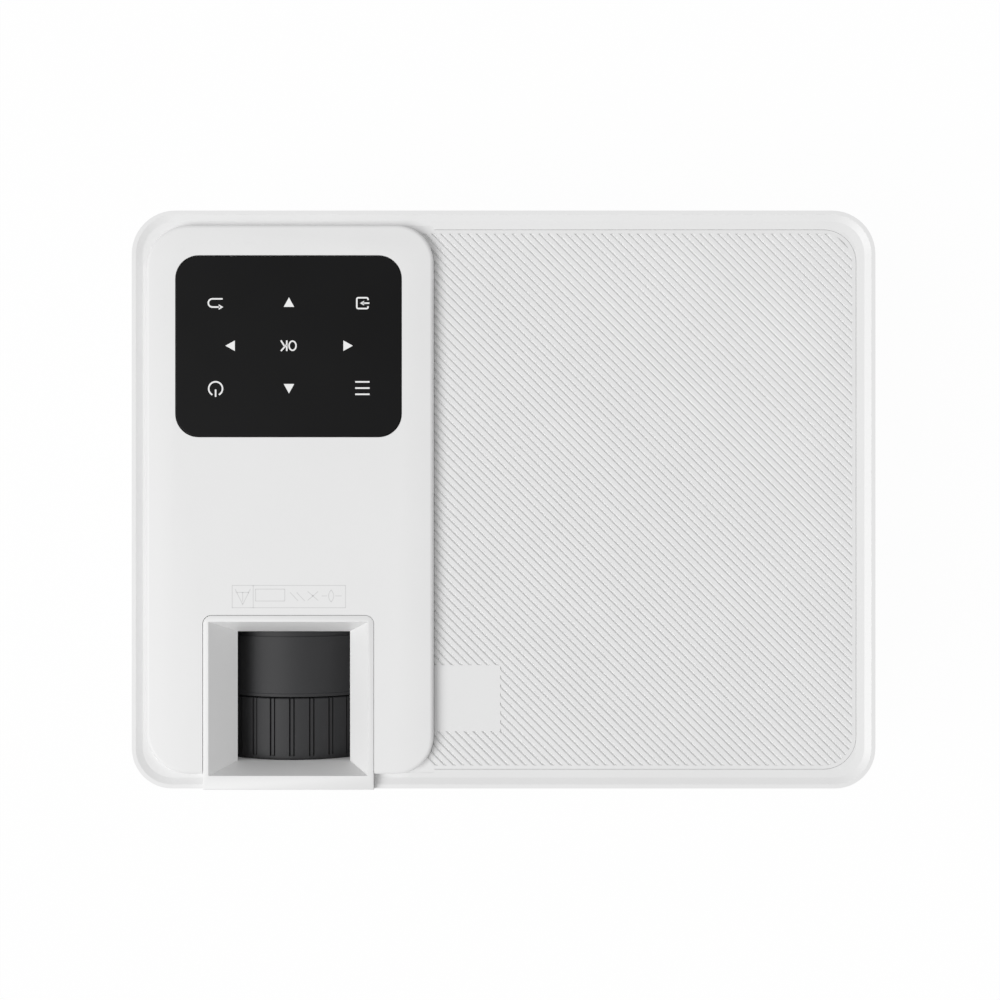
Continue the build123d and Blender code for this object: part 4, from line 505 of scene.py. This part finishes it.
# solids cut from one another: outlines with rounded corners, stacked sections and exact cuts
def roundedPolygon(corners, radii, steps=12):
    # an arc of a quarter circle at each corner that has a radius; anticlockwise, every corner square
    points = []
    for i, radius in enumerate(radii):
        corner, before, after = (np.array(corners[j % len(corners)], dtype=float) for j in (i, i - 1, i + 1))
        if radius <= 0:
            points.append(corner)
            continue
        into = (before - corner) / np.linalg.norm(before - corner)
        out = (after - corner) / np.linalg.norm(after - corner)
        turn = np.linspace(0.0, math.pi / 2, steps)[:, None]
        points.extend(corner + (into + out) * radius
                      - out * radius * np.cos(turn) - into * radius * np.sin(turn))
    return np.array(points)


def boxPlan(low, high, radii=(0, 0, 0, 0)):
    # rectangle from its low and high corners; radii run from the low corner anticlockwise
    return roundedPolygon([(low[0], low[1]), (high[0], low[1]), (high[0], high[1]), (low[0], high[1])], radii)


def stacked(name, sections):
    # closed solid through (outline, height) sections, lowest first
    rings = [np.column_stack([outline, np.full(len(outline), height)]) for outline, height in sections]
    return gridMesh(name, np.array(rings), closeAcross=True, capStart=True, capEnd=True)


def turnedBar(name, sections, axisX, axisZ, steps=192):
    # round solid about an axis along Y through (place, radius) sections, front first
    turn = np.linspace(0.0, 2 * math.pi, steps, endpoint=False)
    rings = [np.column_stack([axisX + radius * np.cos(turn), np.full(steps, place),
                              axisZ - radius * np.sin(turn)]) for place, radius in sections]
    return gridMesh(name, np.array(rings), closeAcross=True, capStart=True, capEnd=True)


def carve(name, mesh, cutters, operation="DIFFERENCE"):
    # exact result of a solid cut by, joined with or kept inside each of the others
    base = bpy.data.objects.new("carveBase", mesh)
    bpy.context.scene.collection.objects.link(base)
    tools = []
    for cutter in cutters:
        tool = bpy.data.objects.new("carveTool", cutter)
        bpy.context.scene.collection.objects.link(tool)
        step = base.modifiers.new("cut", "BOOLEAN")
        step.object, step.operation, step.solver = tool, operation, "EXACT"
        tools.append(tool)
    made = bpy.data.meshes.new_from_object(base.evaluated_get(bpy.context.evaluated_depsgraph_get()))
    made.name = name
    for item in tools + [base]:
        bpy.data.objects.remove(item)
    return made


def placeSolid(name, mesh, finish, body, replaced, angle=32.0):
    # smooth shading, but sharp where two faces meet at more than the angle
    placePiece(name, mesh, finish, body, replaced)
    mesh.set_sharp_from_angle(angle=math.radians(angle))


# raised deck: rounded at all four corners, hollow under its skin, open for the glass and the surround
deckLow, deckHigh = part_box("control_deck")
surroundLow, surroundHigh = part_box("lens_surround")
surroundCorner = 2.8 * mm  # radius of the surround's two rear corners
deckSheet = {"outer": 14.0 * mm, "inner": 12.0 * mm, "edge": 1.3 * mm, "wall": 2.0 * mm, "skin": 2.4 * mm,
             "gap": 0.1 * mm, "glassGap": 0.15 * mm, "over": 1.0 * mm, "steps": 7}


def deckPlan(inset):
    # the deck's outline, drawn in by the inset with its corners' centers where they were
    outer, inner = deckSheet["outer"] - inset, deckSheet["inner"] - inset
    return boxPlan((deckLow.x + inset, deckLow.y + inset), (deckHigh.x - inset, deckHigh.y - inset),
                   (outer, inner, inner, outer))


def surroundPlan(gap, front):
    # the surround's outline from the front line on, wider all round by the gap
    radius = surroundCorner + gap
    return boxPlan((surroundLow.x - gap, front), (surroundHigh.x + gap, surroundHigh.y + gap),
                   (0, 0, radius, radius))


def makeDeck(sheet):
    # block whose top edge is a quarter circle of insets, less its hollow, the surround's notch and the pocket
    top, bottom, edge, wall = deckHigh.z, deckLow.z, sheet["edge"], sheet["wall"]
    sweep = np.linspace(0.0, math.pi / 2, sheet["steps"])
    sections = [(deckPlan(0.0), bottom)] + [
        (deckPlan(edge * (1 - math.cos(a))), top - edge + edge * math.sin(a)) for a in sweep]
    ceiling = top - sheet["skin"]
    left, right = surroundLow.x - sheet["gap"] - wall, surroundHigh.x + sheet["gap"] + wall
    back = surroundHigh.y + sheet["gap"] + wall
    outerRadius, innerRadius = sheet["outer"] - wall, sheet["inner"] - wall
    low, high = (deckLow.x + wall, deckLow.y + wall), (deckHigh.x - wall, deckHigh.y - wall)
    hollow = roundedPolygon([low, (left, low[1]), (left, back), (right, back), (right, low[1]),
                             (high[0], low[1]), high, (low[0], high[1])],
                            (outerRadius, 0, 0, 0, 0, innerRadius, innerRadius, outerRadius))
    glassRoom = sheet["glassGap"]
    pocket = roundedOutline(glassHigh.x - glassLow.x + 2 * glassRoom, glassHigh.y - glassLow.y + 2 * glassRoom,
                            glassSheet["radius"] + glassRoom) + glassCenter
    notch = surroundPlan(sheet["gap"], cadLow[1] - sheet["over"])
    cutters = [
        stacked("hollow", [(hollow, bottom - sheet["over"]), (hollow, ceiling)]),
        stacked("notch", [(notch, bottom - sheet["over"]), (notch, top + sheet["over"])]),
        stacked("pocket", [(pocket, glassLow.z), (pocket, top + sheet["over"])]),
    ]
    return carve("controlDeck", stacked("deckBlock", sections), cutters)


placeSolid("controlDeck", makeDeck(deckSheet), "white_case", bodyOfNode["control_deck"], ("control_deck",))
print("deck made")

# grooved panel: slanting vee grooves up to the deck, a plain border and one bare square
panelLow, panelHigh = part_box("grooved_panel")
panelSheet = {"radius": 10.5 * mm, "border": 1.2 * mm, "gap": 0.1 * mm, "tuck": 0.09 * mm, "arcSteps": 18,
              "pitch": 2.045 * mm, "width": 0.95 * mm, "depth": 0.55 * mm, "lift": 0.3 * mm,
              "count": 107, "center": (45.7 * mm, 0.0), "reach": 170.0 * mm,
              "patch": ((-24.0 * mm, -74.95 * mm), (-1.1 * mm, -53.55 * mm))}


def panelPlan(sheet):
    # the inner edge runs round the deck's two rounded corners, as far as the deck's own depth
    edgeX, reach = deckHigh.x + sheet["gap"], deckHigh.y + sheet["tuck"]
    radius = deckSheet["inner"] + sheet["gap"]
    cornerX, cornerY = deckHigh.x - deckSheet["inner"], deckHigh.y - deckSheet["inner"]
    sweep = np.linspace(math.asin((reach - cornerY) / radius), 0.0, sheet["arcSteps"])
    arc = np.column_stack([cornerX + radius * np.cos(sweep), cornerY + radius * np.sin(sweep)])
    low, high = (edgeX, panelLow.y), (panelHigh.x, panelHigh.y)
    outer = boxPlan(low, high, (0, sheet["radius"], sheet["radius"], 0))
    near = [(edgeX, panelHigh.y), (edgeX, reach)]
    mirrored = (arc * (1, -1))[::-1]
    return np.vstack([outer[1:-1], near, arc, mirrored, [(edgeX, -reach), (edgeX, panelLow.y)]])


def makeGrooves(sheet, top):
    # each groove is a three-sided bar along (1, -1), a pitch further along (1, 1) than the last
    along, across = np.array([1.0, -1.0]) / math.sqrt(2), np.array([1.0, 1.0]) / math.sqrt(2)
    half = sheet["width"] / 2 / sheet["depth"] * (sheet["depth"] + sheet["lift"])
    points, faces = [], []
    for i in range(sheet["count"]):
        middle = np.array(sheet["center"]) + across * (i - (sheet["count"] - 1) / 2) * sheet["pitch"]
        first = len(points)
        for end in (-sheet["reach"], sheet["reach"]):
            for side, height in ((-half, sheet["lift"]), (0.0, -sheet["depth"]), (half, sheet["lift"])):
                place = middle + along * end + across * side
                points.append((place[0], place[1], top + height))
        # two triangular ends, then the three sides
        corners = ((2, 1, 0), (3, 4, 5), (0, 1, 4, 3), (1, 2, 5, 4), (2, 0, 3, 5))
        faces += [[first + corner for corner in face] for face in corners]
    bars = bpy.data.meshes.new("grooveBars")
    bars.from_pydata(points, [], faces)
    bars.update()
    return bars


def makePanel(sheet):
    # the bars are kept inside the field and clear of the bare square, and what is left of them cuts the plate
    top, bottom, lift = panelHigh.z, panelLow.z, sheet["lift"]
    border, radius = sheet["border"], sheet["radius"] - sheet["border"]
    field = boxPlan((deckHigh.x - 2 * deckSheet["inner"], panelLow.y + border),
                    (panelHigh.x - border, panelHigh.y - border), (0, radius, radius, 0))
    patch = boxPlan(*sheet["patch"])
    cutter = carve("grooves", makeGrooves(sheet, top),
                   [stacked("field", [(field, bottom), (field, top + 2 * lift)])], "INTERSECT")
    cutter = carve("grooves", cutter, [stacked("patch", [(patch, bottom), (patch, top + 3 * lift)])])
    plan = panelPlan(sheet)
    return carve("groovedPanel", stacked("panelPlate", [(plan, bottom), (plan, top)]), [cutter])


placeSolid("groovedPanel", makePanel(panelSheet), "white_panel", bodyOfNode["grooved_panel"],
           ("grooved_panel",))
print("grooved panel made")

# lens surround: mitred window narrowing over the barrel, front plate with the flared lens port
ringLow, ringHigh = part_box("focus_ring")
barrel = {"x": (ringLow.x + ringHigh.x) / 2, "z": (ringLow.z + ringHigh.z) / 2,
          "radius": (ringHigh.x - ringLow.x) / 2}
surroundSheet = {"plateTop": 72.0 * mm, "plate": 4.5 * mm, "edge": 0.35 * mm, "edgeStep": 0.3,
                 "sill": 84.4 * mm, "undercut": 2.4 * mm, "saddle": 0.6 * mm, "port": 24.6 * mm,
                 "flare": 3.2 * mm, "over": 1.0 * mm,
                 "mouth": ((-94.8 * mm, -88.75 * mm), (-43.5 * mm, -39.3 * mm)),
                 "throat": ((-86.5 * mm, -84.95 * mm), (-49.93 * mm, -42.85 * mm))}


def makeSurround(sheet):
    # block on a front plate, less a window that narrows from mouth to throat, a round saddle and a flared port
    top, bottom, front, over = surroundHigh.z, surroundLow.z, surroundLow.y, sheet["over"]
    edge, edgeStep, plateTop = sheet["edge"], sheet["edgeStep"], sheet["plateTop"]
    plan = surroundPlan(0.0, front)
    shrunk = [boxPlan((surroundLow.x + inset, front + inset), (surroundHigh.x - inset, surroundHigh.y - inset),
                      (0, 0, surroundCorner - inset, surroundCorner - inset))
              for inset in (edge * edgeStep, edge)]
    block = stacked("surroundBlock", [(plan, plateTop), (plan, top - edge), (shrunk[0], top - edgeStep * edge),
                                      (shrunk[1], top)])
    plateBox = boxPlan((surroundLow.x, front), (surroundHigh.x, front + sheet["plate"]))
    plate = stacked("surroundPlate", [(plateBox, bottom), (plateBox, plateTop + over)])
    whole = carve("surroundWhole", block, [plate], "UNION")
    # the mouth's slope is carried on above the top face, so that its edge there stays sharp
    mouth, throat = np.array(sheet["mouth"]), np.array(sheet["throat"])
    rise = over / (top - sheet["sill"])
    above = mouth + (mouth - throat) * rise
    under = [throat[0] - (sheet["undercut"], 0.0), throat[1]]
    window = stacked("window", [(boxPlan(*under), plateTop - over), (boxPlan(*throat), sheet["sill"]),
                                (boxPlan(*above), top + over)])
    saddle = turnedBar("saddle", [(front + sheet["plate"], barrel["radius"] + sheet["saddle"]),
                                  (surroundHigh.y + over, barrel["radius"] + sheet["saddle"])],
                       barrel["x"], barrel["z"])
    widen = sheet["flare"] / sheet["plate"] * over
    port = turnedBar("port", [(front - over, sheet["port"] + sheet["flare"] + widen),
                              (front + sheet["plate"] + over, sheet["port"] - widen)], barrel["x"], barrel["z"])
    return carve("lensSurround", whole, [window, saddle, port])


placeSolid("lensSurround", makeSurround(surroundSheet), "white_case", bodyOfNode["lens_surround"],
           ("lens_surround",))
print("lens surround made")

# socket panel: the solid's own plate, kept inside the case's rounded corner
caseSheet = {"backRadius": 14.0 * mm, "frontRadius": 13.0 * mm, "over": 1.0 * mm, "merge": 0.001 * mm}


def makePortPanel(sheet):
    # the solid's mesh with its doubled points merged, kept inside an upright prism over the case's outline
    plate = frame["nodes"]["port_panel"].data.copy()
    shell = bmesh.new()
    shell.from_mesh(plate)
    bmesh.ops.remove_doubles(shell, verts=shell.verts, dist=sheet["merge"])
    shell.to_mesh(plate)
    shell.free()
    radii = (sheet["frontRadius"], sheet["frontRadius"], sheet["backRadius"], sheet["backRadius"])
    plan = boxPlan(cadLow[:2], cadHigh[:2], radii)
    low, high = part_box("port_panel")
    room = stacked("casePlan", [(plan, low.z - sheet["over"]), (plan, high.z + sheet["over"])])
    kept = carve("portPanel", plate, [room], "INTERSECT")
    kept.materials.clear()
    return kept


placeSolid("portPanel", makePortPanel(caseSheet), slotOfNode["port_panel"], bodyOfNode["port_panel"],
           ("port_panel",))
print("socket panel made")

# focus ring: a tube whose rim has grooves with a rib in each
ringSheet = {"grooves": 26, "groove": 1.9 * mm, "depth": 1.1 * mm, "wall": 0.14 * mm, "rib": 0.9 * mm,
             "ribRise": 0.85 * mm, "land": 1.2 * mm, "landEnd": 0.2 * mm, "start": 0.6 * mm, "startSteps": 5,
             "fade": 0.5 * mm, "stations": (0.3, 0.45, 0.6, 0.75, 0.9), "bore": 23.08 * mm, "edge": 0.3 * mm,
             "rimSteps": 6}


def softStep(value, low, high):
    # smooth rise from 0 at low to 1 at high: 3 t squared less 2 t cubed
    t = np.clip((value - low) / (high - low), 0.0, 1.0)
    return t * t * (3 - 2 * t)


def makeFocusRing(sheet):
    # loop of (place along the axis, radius) swept round the axis; the rim sinks in at each groove
    front, back, outer, edge = ringLow.y, ringHigh.y, barrel["radius"], sheet["edge"]
    landEnd = front + sheet["land"]
    run = [front + edge, landEnd - sheet["landEnd"]]
    run += np.linspace(landEnd, landEnd + sheet["start"], sheet["startSteps"]).tolist()
    run += [front + (back - front) * share for share in sheet["stations"]] + [back - edge]
    loop = np.array([(front, outer - edge)] + [(y, outer) for y in run]
                    + [(back, outer - edge), (back, sheet["bore"]), (front, sheet["bore"]),
                       (front, (outer + sheet["bore"]) / 2)])
    # angles of one groove about its middle: outer flank, rib flank, middle and their mirror, then the plain rim
    pitch = 2 * math.pi / sheet["grooves"]
    half, soft, core = sheet["groove"] / 2 / outer, sheet["wall"] / outer, sheet["rib"] / 2 / outer
    rise = np.array([-1.0, -0.5, 0.0]) * soft
    flank = np.concatenate([-half - rise[::-1] - soft, [-(half + core) / 2], -core + rise])
    rim = np.linspace(half, pitch - half, sheet["rimSteps"])[1:-1]
    offsets = np.concatenate([flank, [0.0], -flank[::-1], rim])
    turn = (np.arange(sheet["grooves"])[:, None] * pitch + offsets[None, :]).ravel()
    folded = np.abs((turn + pitch / 2) % pitch - pitch / 2)
    sink = sheet["depth"] * (1 - softStep(folded, half - soft, half))
    sink = sink - sheet["ribRise"] * (1 - softStep(folded, core, core + soft))
    along = loop[:, 0]
    share = softStep(along, landEnd, landEnd + sheet["fade"]) * (loop[:, 1] > outer - 2 * edge)
    radius = loop[:, 1][None, :] - sink[:, None] * share[None, :]
    points = np.stack([barrel["x"] + radius * np.sin(turn)[:, None], np.broadcast_to(along, radius.shape),
                       barrel["z"] + radius * np.cos(turn)[:, None]], axis=-1)
    return gridMesh("focusRing", points, closeAcross=True, closeAlong=True)


# bead round the sleeve's front end, closing in on the focus ring
beadSheet = {"front": 0.45 * mm, "width": 1.0 * mm, "rise": 0.16 * mm, "sink": 0.3 * mm, "shoulder": 0.6,
             "round": 0.15, "steps": 192}


def makeBead(sheet):
    # loop of (place along the axis, radius) turned about the lens axis
    start, radius, width, steps = ringHigh.y + sheet["front"], barrel["radius"], sheet["width"], sheet["steps"]
    crest, foot = radius + sheet["rise"], radius - sheet["sink"]
    shoulder = radius + sheet["shoulder"] * sheet["rise"]
    loop = np.array([(start, foot), (start, shoulder), (start + sheet["round"] * width, crest),
                     (start + (1 - sheet["round"]) * width, crest), (start + width, shoulder),
                     (start + width, foot)])
    turn = np.linspace(0.0, 2 * math.pi, steps, endpoint=False)
    points = np.stack([barrel["x"] + loop[None, :, 1] * np.sin(turn)[:, None],
                       np.broadcast_to(loop[None, :, 0], (steps, len(loop))),
                       barrel["z"] + loop[None, :, 1] * np.cos(turn)[:, None]], axis=-1)
    return gridMesh("sleeveBead", points, closeAcross=True, closeAlong=True)


placePiece("sleeveBead", makeBead(beadSheet), "barrel_grey", bodyOfNode["lens_sleeve"], smooth=False)
placePiece("focusRing", makeFocusRing(ringSheet), "barrel_grey", bodyOfNode["focus_ring"], ("focus_ring",),
           smooth=False)
print("focus ring made")

# studio: one broad lamp, an even sky and a white floor
studio = {
    "keyStrength": 1.93, "keySpread": 40.0, "keyFrom": (-0.55, -0.22, 0.81),
    "ambient": 0.46, "floorReach": 3.0, "floorShade": 0.86, "floorGlow": 0.97,
}


def makeSun(sheet):
    # tilted away from straight down by the angle to +Z, then turned to the heading of its direction
    data = bpy.data.lights.new("keySun", "SUN")
    data.energy = sheet["keyStrength"]
    data.angle = math.radians(sheet["keySpread"])
    lamp = bpy.data.objects.new("keySun", data)
    away = np.array(sheet["keyFrom"])
    pitch = math.acos(away[2] / np.linalg.norm(away))
    heading = math.atan2(away[1], away[0])
    lamp.rotation_euler = (0.0, pitch, heading)
    bpy.context.scene.collection.objects.link(lamp)


def makeWorld(sheet):
    # white to the camera and in reflections, ambient for everything else
    world = bpy.data.worlds.new("studioWorld")
    bpy.context.scene.world = world
    world.use_nodes = True
    tree = world.node_tree
    tree.nodes.clear()
    path = addNode(tree, "ShaderNodeLightPath")
    either = addNode(tree, "ShaderNodeMath", operation="MAXIMUM")
    seen = addNode(tree, "ShaderNodeMath", operation="MAXIMUM")
    soft = addNode(tree, "ShaderNodeBackground", {"Color": (1, 1, 1, 1), "Strength": sheet["ambient"]})
    white = addNode(tree, "ShaderNodeBackground", {"Color": (1, 1, 1, 1), "Strength": 1.0})
    mix = addNode(tree, "ShaderNodeMixShader")
    output = addNode(tree, "ShaderNodeOutputWorld")
    join(tree, path, "Is Camera Ray", either, 0)
    join(tree, path, "Is Glossy Ray", either, 1)
    join(tree, either, "Value", seen, 0)
    join(tree, path, "Is Transmission Ray", seen, 1)
    join(tree, seen, "Value", mix, "Fac")
    tree.links.new(soft.outputs[0], mix.inputs[1])
    tree.links.new(white.outputs[0], mix.inputs[2])
    join(tree, mix, "Shader", output, "Surface")


def makeFloor(sheet):
    # a square at z = 0: matt to light, mostly a white glow to the camera, so that it shows only soft shadows
    reach = sheet["floorReach"]
    corners = [(-reach, -reach, 0.0), (reach, -reach, 0.0), (reach, reach, 0.0), (-reach, reach, 0.0)]
    mesh = bpy.data.meshes.new("studioFloor")
    mesh.from_pydata(corners, [], [[0, 1, 2, 3]])
    floor = bpy.data.objects.new("studioFloor", mesh)
    bpy.context.scene.collection.objects.link(floor)
    material, tree = newMaterial("studioFloor")
    path = addNode(tree, "ShaderNodeLightPath")
    diffuse = addNode(tree, "ShaderNodeBsdfDiffuse", {"Color": (*grey(sheet["floorShade"]), 1.0)})
    glow = addNode(tree, "ShaderNodeEmission", {"Color": (1, 1, 1, 1), "Strength": 1.0})
    share = addNode(tree, "ShaderNodeMath", {1: sheet["floorGlow"]}, operation="MULTIPLY")
    mix = addNode(tree, "ShaderNodeMixShader")
    output = addNode(tree, "ShaderNodeOutputMaterial")
    join(tree, path, "Is Camera Ray", share, 0)
    join(tree, share, "Value", mix, "Fac")
    tree.links.new(diffuse.outputs[0], mix.inputs[1])
    tree.links.new(glow.outputs[0], mix.inputs[2])
    # clear from underneath, so that the feet and the bottom case can be looked at
    sideSeen = addNode(tree, "ShaderNodeNewGeometry")
    clear = addNode(tree, "ShaderNodeBsdfTransparent")
    under = addNode(tree, "ShaderNodeMixShader")
    join(tree, sideSeen, "Backfacing", under, "Fac")
    tree.links.new(mix.outputs[0], under.inputs[1])
    tree.links.new(clear.outputs[0], under.inputs[2])
    join(tree, under, "Shader", output, "Surface")
    mesh.materials.append(material)


makeSun(studio)
makeWorld(studio)
makeFloor(studio)
bpy.context.scene.view_settings.view_transform = "Standard"
print("studio lit")
